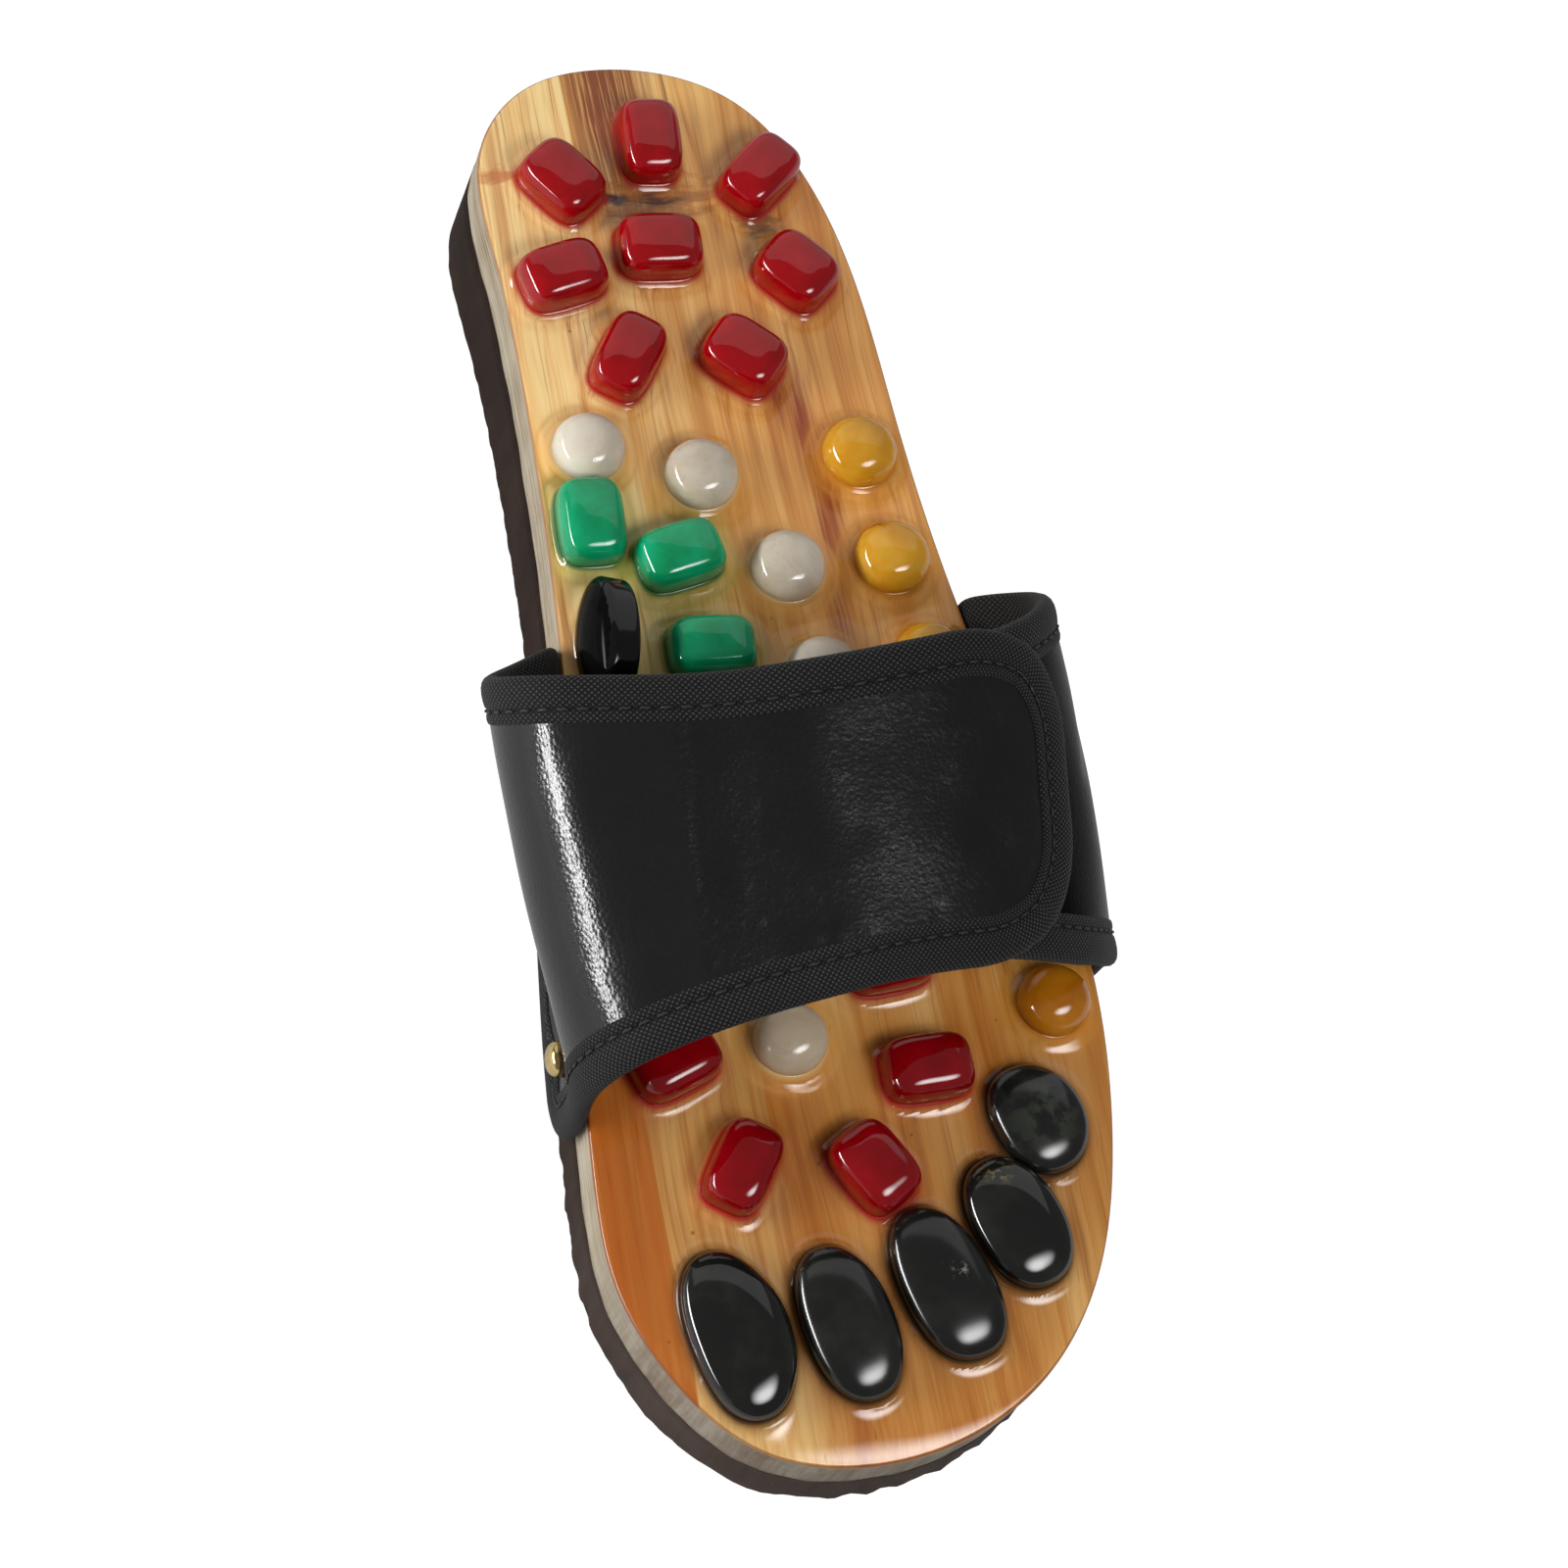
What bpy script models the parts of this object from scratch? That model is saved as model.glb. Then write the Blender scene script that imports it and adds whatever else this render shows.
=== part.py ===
"""Left massage sandal: a foam wedge, a wooden footbed with massage stones and a bound strap.

Sizes are in millimetres until a mesh is made. X runs to the little toe, Y to the heel and Z up.
The footbed is a flat board that slopes down to the toe. Points on it are given as x, y and the height
above its top face, and on_board turns them into upright coordinates.
"""
import math

import bmesh
import bpy
import numpy as np

MILLIMETRE = 0.001
GAP = 0.3

# Sole
HEEL_FOAM = 21.0
TOE_FOAM = 11.4
BOARD_THICKNESS = 12.0
LIP_RADIUS = 1.4
FOAM_FLARE = 0.8
TOE_SPRING = 1.8
SPRING_START = -100.0
SOLE_STATIONS = 37
OUTLINE_SAMPLES = 2401
# How far in and down the middle of the rounded lip lies, as a share of its radius
LIP_MIDDLE = 1 - math.sqrt(0.5)

# Points round the footbed's outline: place, x, y
OUTLINE = (
    ("heel back", -8.0, 137.7),
    ("heel lateral corner", 17.2, 129.5),
    ("heel lateral", 29.6, 109.2),
    ("waist lateral", 36.1, 59.8),
    ("strap lateral", 39.8, 21.9),
    ("ball lateral", 49.9, -60.0),
    ("little toe", 46.4, -86.5),
    ("toe lateral", 38.3, -109.9),
    ("toe lateral corner", 23.0, -128.0),
    ("toe tip", -6.0, -137.7),
    ("toe medial corner", -29.0, -132.2),
    ("big toe", -43.0, -116.2),
    ("ball medial front", -49.0, -100.5),
    ("ball medial", -49.5, -81.0),
    ("arch medial", -36.6, 27.0),
    ("waist medial", -35.1, 55.0),
    ("heel medial", -35.3, 100.0),
    ("heel medial side", -33.8, 122.5),
    ("heel medial corner", -23.6, 134.2),
)

# Strap
STRAP_WALL = 2.4
BINDING_WIDTH = 8.5
BINDING_RAISE = 0.45
BINDING_STEP = 0.5
FLAP_CORNER = 25.0
HEM_CORNER = 9.0
STRAP_PITCH = 5.6
LAP_START = 88.0
LAP_RAMP = 22.0
JOIN_DEPTH = 0.3
LATERAL_TUCK = 1.6
# Where the lateral half narrows, as shares of its length
TUCK_START = 0.45
TUCK_RAMP = 0.3
WALL_BULGE = 2.2

# Sections of the strap from the medial hem over the instep to the lateral hem: place, then x, y and height
# of the heelward edge and of the toeward edge. Hem, tack and edge rows stand off the sole's side instead of
# having an x: their first number is the stand-off beyond the strap's half wall.
STRAP_SECTIONS = (
    ("medial hem", 2.6, 20.0, -16.0, 0.9, -70.0, -16.0),
    ("medial tack", 0.9, 19.8, -7.0, 0.7, -71.0, -7.0),
    ("medial edge", 1.0, 19.0, 0.8, 0.8, -71.0, 0.8),
    ("medial wall", -47.5, 13.5, 10.0, -50.6, -70.6, 6.5),
    ("medial bulge", -57.0, 5.8, 24.0, -49.6, -69.6, 15.0),
    ("medial bend", -53.5, -0.5, 38.5, -44.0, -68.4, 25.5),
    ("medial crown", -39.0, -4.2, 44.0, -30.0, -66.0, 32.5),
    ("crown", -15.0, -6.4, 46.5, -9.0, -63.3, 35.5),
    ("lateral crown", 20.0, -2.6, 44.0, 16.0, -60.8, 32.8),
    ("lateral bend", 40.0, 3.6, 35.0, 35.0, -59.6, 25.0),
    ("lateral bulge", 47.6, 11.6, 22.5, 46.0, -57.4, 14.0),
    ("lateral wall", 46.0, 17.6, 9.5, 51.6, -54.6, 4.0),
    ("lateral edge", 1.0, 20.8, 0.8, 0.8, -53.4, 0.8),
    ("lateral tack", 0.9, 21.4, -7.0, 0.7, -53.0, -7.0),
    ("lateral hem", 1.6, 22.0, -16.0, 1.2, -52.6, -16.0),
)
SIDE_ROWS = 3
FLAP_END_SECTION = 9.12
TUCK_END_SECTION = 7.2
# Steps along and across the strap over which its tilt is measured
TILT_RUN = 0.4
TILT_SHARE = 0.01

# Tacks
TACK_RADIUS = 3.2
TACK_DOME = 2.0
TACK_HEIGHT = -4.6
TACK_SIDES = 14
TACK_CLEARANCE = 0.6
# Tack head from its rim to its top: share of the radius, share of the dome's height
TACK_PROFILE = ((1.0, 0.0), (0.97, 0.35), (0.8, 0.68), (0.45, 0.93))
TACK_SEARCH = 241
TACK_STATIONS = {"medial": (-57.0, -35.0, -16.0, 3.0), "lateral": (-41.0, -21.0, -5.0, 10.0)}

# Stones: name, kind, x, y, length, width, height, turn of the length from the X axis in degrees
STONES = (
    ("stone_red_heel_1", "pillow", -1.8, 119.4, 16.5, 11.8, 8.0, 86.0),
    ("stone_red_heel_2", "pillow", -20.4, 112.2, 16.0, 12.2, 8.0, -52.0),
    ("stone_red_heel_3", "pillow", 18.4, 110.7, 16.8, 11.2, 8.0, 42.0),
    ("stone_red_heel_4", "pillow", -23.9, 92.5, 16.4, 12.0, 8.0, 13.0),
    ("stone_red_heel_5", "pillow", -4.2, 96.9, 16.4, 12.4, 8.0, -3.0),
    ("stone_red_heel_6", "pillow", 21.5, 89.7, 15.0, 12.8, 8.0, -47.0),
    ("stone_red_heel_7", "pillow", -14.5, 74.7, 17.0, 11.4, 8.0, 56.0),
    ("stone_red_heel_8", "pillow", 7.7, 73.0, 15.6, 12.8, 8.0, -41.0),
    ("stone_white_1", "dome", -25.2, 57.3, 13.8, 13.4, 7.0, 0.0),
    ("stone_white_2", "dome", -4.8, 50.0, 14.0, 13.8, 7.0, 0.0),
    ("stone_white_3", "dome", 8.0, 30.0, 14.2, 13.8, 7.0, 0.0),
    ("stone_white_4", "dome", 10.5, 8.4, 13.8, 13.6, 7.0, 0.0),
    ("stone_yellow_1", "dome", 26.5, 51.7, 14.2, 13.8, 7.0, 0.0),
    ("stone_yellow_2", "dome", 28.3, 29.8, 14.4, 14.0, 7.0, 0.0),
    ("stone_yellow_3", "dome", 31.4, 9.2, 13.6, 13.4, 7.0, 0.0),
    ("stone_green_1", "pillow", -27.8, 42.0, 16.6, 12.4, 8.0, 87.0),
    ("stone_green_2", "pillow", -12.4, 33.7, 16.4, 11.8, 8.0, 12.0),
    ("stone_green_3", "pillow", -10.0, 14.8, 16.4, 11.8, 8.0, -3.0),
    ("stone_red_ball_1", "pillow", -32.0, -62.2, 16.4, 11.8, 8.0, 20.0),
    ("stone_white_5", "dome", -10.0, -60.4, 13.8, 13.4, 7.0, 0.0),
    ("stone_red_ball_2", "pillow", 13.6, -69.2, 16.6, 12.0, 8.0, 1.0),
    ("stone_yellow_4", "dome", 40.2, -59.4, 13.6, 13.4, 7.0, 0.0),
    ("stone_red_ball_3", "pillow", 10.6, -48.2, 16.0, 12.0, 8.0, 5.0),
    ("stone_red_ball_4", "pillow", -23.5, -82.8, 16.8, 11.4, 8.0, 56.0),
    ("stone_red_ball_5", "pillow", 0.1, -86.0, 16.4, 12.6, 8.0, -60.0),
    ("stone_green_4", "pillow", -18.6, -5.6, 16.4, 11.8, 8.0, 20.0),
    ("stone_white_6", "dome", 3.4, -12.6, 13.8, 13.6, 7.0, 0.0),
    ("stone_yellow_5", "dome", 33.6, -14.4, 13.8, 13.6, 7.0, 0.0),
    ("stone_green_5", "pillow", -30.2, -24.6, 16.4, 11.8, 8.0, 74.0),
    ("stone_white_7", "dome", -6.6, -34.2, 13.8, 13.6, 7.0, 0.0),
    ("stone_yellow_6", "dome", 36.4, -37.2, 13.8, 13.6, 7.0, 0.0),
    ("stone_toe_1", "pebble", -29.9, -112.2, 30.6, 18.6, 6.0, -81.0),
    ("stone_toe_2", "pebble", -9.8, -112.6, 28.0, 16.8, 6.0, -81.0),
    ("stone_toe_3", "pebble", 9.2, -108.3, 28.6, 17.0, 6.0, -76.0),
    ("stone_toe_4", "pebble", 24.6, -99.3, 25.0, 16.8, 6.0, -73.0),
    ("stone_toe_5", "pebble", 32.7, -80.9, 20.6, 17.2, 6.0, -74.0),
)
# Outlines of the toe pebbles: share of the oval each eighth of a turn, from the toe end by the lateral side
PEBBLE_OUTLINES = {
    "stone_toe_1": (1.00, 0.96, 1.02, 0.95, 1.02, 1.00, 0.92, 0.96),
    "stone_toe_2": (1.03, 1.02, 0.97, 0.95, 1.01, 1.03, 1.00, 1.03),
    "stone_toe_3": (1.00, 1.06, 0.98, 0.96, 1.03, 1.03, 1.00, 1.01),
    "stone_toe_4": (0.98, 1.00, 1.01, 0.97, 1.03, 1.04, 1.00, 0.99),
    "stone_toe_5": (1.00, 0.96, 0.99, 0.95, 1.02, 1.06, 1.00, 1.00),
}

# Stone profiles from the base up: share of the height, share of the half size
STONE_PROFILES = {
    "pillow": ((0.0, 0.93), (0.22, 1.0), (0.62, 0.98), (0.88, 0.86), (1.0, 0.56)),
    "dome": ((0.0, 0.96), (0.22, 1.0), (0.58, 0.87), (0.86, 0.55), (1.0, 0.16)),
    "pebble": ((0.0, 0.9), (0.3, 1.0), (0.66, 0.93), (0.9, 0.74), (1.0, 0.42)),
}
# How square a stone is in plan: 2 is an ellipse, more is squarer
STONE_SQUARENESS = {"pillow": 3.6, "dome": 2.0, "pebble": 2.25}
STONE_SIDES = 16
STONE_SHARP_ANGLE = 60.0

# Black disc that stands on its edge under the arch
ARCH_DISC_PLACE = (-30.1, 18.4)
ARCH_DISC_LENGTH = 23.9
ARCH_DISC_HEIGHT = 11.3
# Height of the whole oval, whose lower part is cut off, as a share of what is left
ARCH_DISC_WHOLE = 1.27
ARCH_DISC_THICKNESS = 6.2
ARCH_DISC_LEAN = 17.0
ARCH_DISC_TURN = 8.0
ARCH_DISC_SIDES = 24
# Disc section from the domed medial face to the flat one: share of half thickness, share of the rim's size
ARCH_DISC_SECTION = (
    (-1.78, 0.3),
    (-1.5, 0.58),
    (-1.12, 0.82),
    (-0.86, 0.94),
    (-0.6, 1.0),
    (0.6, 1.0),
    (0.86, 0.95),
    (1.0, 0.86),
)

# Colour, roughness and metallic value of each finish
FINISHES = {
    "brown_foam": ((0.085, 0.058, 0.046, 1.0), 0.9, 0.0),
    "fir_wood": ((0.62, 0.33, 0.12, 1.0), 0.25, 0.0),
    "black_leather": ((0.012, 0.012, 0.013, 1.0), 0.42, 0.0),
    "brass": ((0.72, 0.52, 0.2, 1.0), 0.22, 1.0),
    "red_stone": ((0.36, 0.008, 0.012, 1.0), 0.08, 0.0),
    "green_stone": ((0.006, 0.24, 0.1, 1.0), 0.08, 0.0),
    "white_stone": ((0.7, 0.62, 0.53, 1.0), 0.1, 0.0),
    "yellow_stone": ((0.62, 0.27, 0.02, 1.0), 0.1, 0.0),
    "black_stone": ((0.008, 0.009, 0.008, 1.0), 0.08, 0.0),
}


def clear_scene():
    for item in list(bpy.data.objects):
        bpy.data.objects.remove(item, do_unlink=True)


def finish(name):
    material = bpy.data.materials.get(name)
    if material is None:
        material = bpy.data.materials.new(name)
        material.use_nodes = True
        colour, roughness, metallic = FINISHES[name]
        shader = material.node_tree.nodes["Principled BSDF"]
        shader.inputs["Base Color"].default_value = colour
        shader.inputs["Roughness"].default_value = roughness
        shader.inputs["Metallic"].default_value = metallic
    return material


def add_solid(name, points, faces, finish_name, sharp_angle=40.0):
    mesh = bpy.data.meshes.new(name)
    mesh.from_pydata([tuple(float(c) * MILLIMETRE for c in point) for point in points], [], faces)
    shape = bmesh.new()
    shape.from_mesh(mesh)
    bmesh.ops.recalc_face_normals(shape, faces=shape.faces)
    shape.to_mesh(mesh)
    shape.free()
    mesh.materials.append(finish(finish_name))
    mesh.shade_smooth()
    mesh.set_sharp_from_angle(angle=math.radians(sharp_angle))
    solid = bpy.data.objects.new(name, mesh)
    bpy.context.collection.objects.link(solid)
    return solid


# Curves

def cubic_through(knots, values, wanted, closed=False):
    """Cubic spline through values at the knots. A closed one repeats its first value at the end."""
    knots = np.asarray(knots, float)
    values = np.asarray(values, float)
    count = len(knots)
    step = np.diff(knots)
    slope = np.diff(values, axis=0) / step[:, None]
    system = np.zeros((count, count))
    target = np.zeros_like(values)
    for row in range(1, count - 1):
        system[row, row - 1:row + 2] = step[row - 1], 2 * (step[row - 1] + step[row]), step[row]
        target[row] = 6 * (slope[row] - slope[row - 1])
    if closed:
        system[0, 0], system[0, -1] = 1, -1
        system[-1, 0], system[-1, 1] = 2 * step[0], step[0]
        system[-1, -2], system[-1, -1] = step[-1], 2 * step[-1]
        target[-1] = 6 * (slope[0] - slope[-1])
    else:
        system[0, 0] = system[-1, -1] = 1
    bend = np.linalg.solve(system, target)
    span = np.clip(np.searchsorted(knots, wanted, side="right") - 1, 0, count - 2)
    after = (wanted - knots[span])[:, None]
    before = (knots[span + 1] - wanted)[:, None]
    width = step[span][:, None]
    ends = bend[span] * before ** 3 + bend[span + 1] * after ** 3
    return (ends / (6 * width)
            + (values[span] / width - bend[span] * width / 6) * before
            + (values[span + 1] / width - bend[span + 1] * width / 6) * after)


def chord_lengths(points):
    return np.concatenate([[0.0], np.cumsum(np.linalg.norm(np.diff(points, axis=0), axis=1))])


def smooth_step(value):
    value = np.clip(value, 0.0, 1.0)
    return value * value * (3 - 2 * value)


def sole_sides():
    """The footbed's outline as two functions of y, one for the medial side and one for the lateral side."""
    points = np.array([row[1:] for row in OUTLINE] + [OUTLINE[0][1:]])
    knots = chord_lengths(points)
    dense = cubic_through(knots, points, np.linspace(0, knots[-1], OUTLINE_SAMPLES), closed=True)
    heel = int(np.argmax(dense[:, 1]))
    dense = np.roll(dense[:-1], -heel, axis=0)
    toe = int(np.argmin(dense[:, 1]))
    lateral = dense[:toe + 1][::-1]
    medial = np.vstack([dense[toe:], dense[:1]])
    return medial, lateral


MEDIAL, LATERAL = sole_sides()
TOE_Y = MEDIAL[0, 1]
HEEL_Y = MEDIAL[-1, 1]


def side_x(side, y):
    curve = MEDIAL if side == "medial" else LATERAL
    return np.interp(y, curve[:, 1], curve[:, 0])


# Slope of the footbed

SLOPE = math.asin((HEEL_FOAM - TOE_FOAM) / (HEEL_Y - TOE_Y))
TOP_AT_MIDDLE = (HEEL_FOAM + TOE_FOAM) / 2 + BOARD_THICKNESS


def on_board(points):
    points = np.asarray(points, float)
    y = points[..., 1] * math.cos(SLOPE) - points[..., 2] * math.sin(SLOPE)
    z = TOP_AT_MIDDLE + points[..., 1] * math.sin(SLOPE) + points[..., 2] * math.cos(SLOPE)
    return np.stack([points[..., 0], y, z], axis=-1)


# Sole pieces

def outline_ring(outset):
    """Outline points: toe to heel along the lateral side, then heel to toe along the medial side."""
    turn = np.linspace(0, math.pi, SOLE_STATIONS)
    stations = (HEEL_Y + TOE_Y) / 2 - (HEEL_Y - TOE_Y) / 2 * np.cos(turn)
    lateral = np.column_stack([side_x("lateral", stations), stations])
    medial = np.column_stack([side_x("medial", stations), stations])[::-1]
    ring = np.vstack([lateral, medial[1:-1]])
    along = np.roll(ring, -1, axis=0) - np.roll(ring, 1, axis=0)
    along /= np.linalg.norm(along, axis=1)[:, None]
    return ring + np.reshape(outset, (-1, 1)) * np.column_stack([along[:, 1], -along[:, 0]])


def sole_solid(name, rings, finish_name):
    """Closed solid from stacked outline rings, its two ends filled station by station."""
    count = len(rings[0])
    last = SOLE_STATIONS - 1
    faces = []
    for level in range(len(rings) - 1):
        low = level * count
        for i in range(count):
            j = (i + 1) % count
            faces.append((low + i, low + j, low + count + j, low + count + i))
    for base, flip in ((0, True), ((len(rings) - 1) * count, False)):
        for i in range(last):
            corners = [base + i, base + i + 1]
            corners += [base + (count - i - 1) % count] if i + 1 < last else []
            corners += [base + (count - i) % count] if i > 0 else []
            faces.append(tuple(reversed(corners)) if flip else tuple(corners))
    return add_solid(name, np.vstack(rings), faces, finish_name)


def footbed():
    rings = []
    middle = LIP_MIDDLE * LIP_RADIUS
    lip = ((0.0, -LIP_RADIUS), (-middle, -middle), (-LIP_RADIUS, 0.0))
    for outset, height in ((0.0, -BOARD_THICKNESS),) + lip:
        ring = outline_ring(outset)
        rings.append(on_board(np.column_stack([ring, np.full(len(ring), height)])))
    return sole_solid("footbed", rings, "fir_wood")


def outsole():
    top = outline_ring(0.0)
    top = on_board(np.column_stack([top, np.full(len(top), -BOARD_THICKNESS - GAP)]))
    heelward = (outline_ring(0.0)[:, 1] - TOE_Y) / (HEEL_Y - TOE_Y)
    bottom = outline_ring(FOAM_FLARE * heelward)
    rise = np.clip((SPRING_START - bottom[:, 1]) / (SPRING_START - TOE_Y), 0, None)
    bottom = np.column_stack([bottom, TOE_SPRING * rise ** 2])
    return sole_solid("outsole", [bottom, top], "brown_foam")


# Strap

def section_edges(side_share):
    """Each section's point at shares of the strap's width: 0 is the toeward edge, 1 the heelward edge."""
    share = np.asarray(side_share, float)
    rows = []
    last = len(STRAP_SECTIONS) - 1
    for index, (place, *sizes) in enumerate(STRAP_SECTIONS):
        heel, toe = np.array(sizes[:3]), np.array(sizes[3:])
        point = toe + (heel - toe) * share[:, None]
        crown = 4 * share * (1 - share)
        if index < SIDE_ROWS or index > last - SIDE_ROWS:
            side = "medial" if index < SIDE_ROWS else "lateral"
            outward = -1 if side == "medial" else 1
            stand_off = point[:, 0] + STRAP_WALL / 2
            point[:, 0] = side_x(side, point[:, 1]) + outward * stand_off
        elif "wall" in place or "bulge" in place:
            point[:, 0] += (-1 if "medial" in place else 1) * WALL_BULGE * crown
        rows.append(point)
    return np.array(rows)


SECTION_KNOTS = chord_lengths(section_edges([0.5])[:, 0])
STRAP_LENGTH = SECTION_KNOTS[-1]


def strap_surface(run, share):
    """Middle of the strap's wall: run is the way from the medial hem, share the place across."""
    weights = cubic_through(SECTION_KNOTS, np.eye(len(SECTION_KNOTS)), run)
    return np.einsum("nk,knc->nc", weights, section_edges(share))


def strap_normal(run, share):
    low_run = np.clip(run - TILT_RUN, 0, None)
    high_run = np.clip(run + TILT_RUN, None, STRAP_LENGTH)
    along = strap_surface(high_run, share) - strap_surface(low_run, share)
    across = strap_surface(run, share + TILT_SHARE) - strap_surface(run, share - TILT_SHARE)
    normal = np.cross(along, across)
    return normal / np.linalg.norm(normal, axis=1)[:, None]


def section_run(section):
    return float(np.interp(section, np.arange(len(SECTION_KNOTS)), SECTION_KNOTS))


# Lines of the binding from the strap's edge: the edge, then both sides of its step
BINDING_LINES = (0.0, BINDING_WIDTH, BINDING_WIDTH + BINDING_STEP)


def bound_steps(length, bound_end):
    """Distances along a strip: the binding's lines, then even spaces, and at a bound end its lines again."""
    start = list(BINDING_LINES)
    end = [length - line for line in start[::-1]] if bound_end else [length]
    spaces = max(1, round((end[0] - start[-1]) / STRAP_PITCH))
    inner = np.linspace(start[-1], end[0], spaces + 1)
    return np.array(start[:-1] + list(inner) + end[1:])


def rounded(x, y):
    """Moves a point of the unit square so that the square's outer corner becomes a quarter circle."""
    if x <= 0 or y <= 0:
        return x, y
    if x >= y:
        angle = math.pi / 4 * y / x
        return x * math.cos(angle), x * math.sin(angle)
    angle = math.pi / 4 * x / y
    return y * math.sin(angle), y * math.cos(angle)


def strap_half(name, length, from_medial, end_corner, tuck):
    """One half of the strap as a thick sheet from its hem to its end, with bound edges and round corners."""
    lengthways = bound_steps(length, end_corner > 0)
    columns = len(bound_steps(np.ptp(section_edges([0, 1])[0][:, 1]), True))
    spaces = columns + 1 - 2 * len(BINDING_LINES)
    bound_count = len(BINDING_LINES) - 1
    runs, shares, thick = [], [], []
    for row, distance in enumerate(lengthways):
        run = distance if from_medial else STRAP_LENGTH - distance
        ends = strap_surface(np.array([run, run]), np.array([0.0, 1.0]))
        width = np.linalg.norm(ends[1] - ends[0])
        half = width / 2 - tuck * smooth_step((distance / length - TUCK_START) / TUCK_RAMP)
        for column in range(columns):
            from_edge = min(column, columns - 1 - column)
            side = -1 if column < columns / 2 else 1
            if from_edge < len(BINDING_LINES):
                q = side * (half - BINDING_LINES[from_edge])
            else:
                q = (half - BINDING_LINES[-1]) * (2 * (column - bound_count) / spaces - 1)
            p = distance
            for corner, at_end in ((HEM_CORNER, False), (end_corner, True)):
                if corner > 0:
                    along = (p - (length - corner)) / corner if at_end else (corner - p) / corner
                    out = (abs(q) - (half - corner)) / corner
                    along, out = rounded(along, out)
                    p = length - corner + corner * along if at_end else corner - corner * along
                    q = side * (half - corner + corner * out)
            from_end = len(lengthways) - 1 - row if end_corner > 0 else row
            bound = min(from_edge, row, from_end) < bound_count
            runs.append(p if from_medial else STRAP_LENGTH - p)
            shares.append(0.5 + q / width)
            thick.append(STRAP_WALL / 2 + (BINDING_RAISE if bound else 0.0))
    runs, shares, thick = np.array(runs), np.array(shares), np.array(thick)[:, None]
    middle = strap_surface(runs, shares)
    normal = strap_normal(runs, shares)
    if from_medial:
        lift = (STRAP_WALL - JOIN_DEPTH) * smooth_step((runs - LAP_START) / LAP_RAMP)
        middle = middle + normal * lift[:, None]
    outer = on_board(middle + normal * thick)
    inner = on_board(middle - normal * thick)
    return sheet_solid(name, outer, inner, len(lengthways), columns)


def sheet_solid(name, outer, inner, rows, columns):
    count = rows * columns
    faces = []
    for row in range(rows - 1):
        for column in range(columns - 1):
            a = row * columns + column
            square = (a, a + 1, a + columns + 1, a + columns)
            faces.append(square)
            faces.append(tuple(count + corner for corner in reversed(square)))
    rim = [column for column in range(columns)]
    rim += [row * columns + columns - 1 for row in range(1, rows)]
    rim += [(rows - 1) * columns + column for column in range(columns - 2, -1, -1)]
    rim += [row * columns for row in range(rows - 2, 0, -1)]
    for first, second in zip(rim, rim[1:] + rim[:1]):
        faces.append((second, first, count + first, count + second))
    return add_solid(name, np.vstack([outer, inner]), faces, "black_leather")


def upper():
    flap = strap_half("upper", section_run(FLAP_END_SECTION), True, FLAP_CORNER, 0.0)
    lateral_length = STRAP_LENGTH - section_run(TUCK_END_SECTION)
    lateral = strap_half("upper_lateral_half", lateral_length, False, 0.0, LATERAL_TUCK)
    lateral.hide_render = True
    lateral.display_type = "WIRE"
    join = flap.modifiers.new("join halves", "BOOLEAN")
    join.operation = "UNION"
    join.solver = "EXACT"
    join.object = lateral
    return flap


# Tacks

def tack(name, side, station):
    """Domed tack head, flat against the strap's outer face above the hem's binding."""
    near_hem = np.linspace(0, section_run(SIDE_ROWS), TACK_SEARCH)
    runs = near_hem if side == "medial" else STRAP_LENGTH - near_hem
    heights = strap_surface(runs, np.full(TACK_SEARCH, 0.5))[:, 2]
    run = runs[int(np.argmin(np.abs(heights - TACK_HEIGHT)))]
    share_at = np.linspace(0, 1, TACK_SEARCH)
    across = strap_surface(np.full(TACK_SEARCH, run), share_at)
    share = share_at[int(np.argmin(np.abs(across[:, 1] - station)))]
    run, share = np.array([run]), np.array([share])
    centre = strap_surface(run, share)[0]
    out = strap_normal(run, share)[0]
    centre = centre + out * (STRAP_WALL / 2 + TACK_CLEARANCE)
    level = np.cross(out, (0.0, 0.0, 1.0))
    level /= np.linalg.norm(level)
    up = np.cross(level, out)
    points = []
    angles = np.linspace(0, 2 * math.pi, TACK_SIDES, endpoint=False)
    for radius_share, rise_share in TACK_PROFILE:
        for angle in angles:
            spoke = math.cos(angle) * level + math.sin(angle) * up
            points.append(centre + spoke * TACK_RADIUS * radius_share + out * TACK_DOME * rise_share)
    faces = ring_faces(len(TACK_PROFILE), TACK_SIDES)
    return add_solid(name, on_board(points), faces, "brass", STONE_SHARP_ANGLE)


def ring_faces(levels, sides):
    faces = []
    for low in range(0, (levels - 1) * sides, sides):
        high = low + sides
        for i in range(sides):
            j = (i + 1) % sides
            faces.append((low + i, low + j, high + j, high + i))
    faces.append(tuple(reversed(range(sides))))
    faces.append(tuple(range((levels - 1) * sides, levels * sides)))
    return faces


# Stones

def stone_finish(name):
    for colour in ("red", "green", "white", "yellow"):
        if colour in name:
            return colour + "_stone"
    return "black_stone"


def outline_shares(name, angles):
    """Shares of a stone's even outline at angles from its end: 1 apart from the toe pebbles."""
    if name not in PEBBLE_OUTLINES:
        return np.ones(len(angles))
    shares = np.array(PEBBLE_OUTLINES[name] + PEBBLE_OUTLINES[name][:1])[:, None]
    knots = np.linspace(0, 2 * math.pi, len(shares))
    return cubic_through(knots, shares, angles, closed=True)[:, 0]


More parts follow.
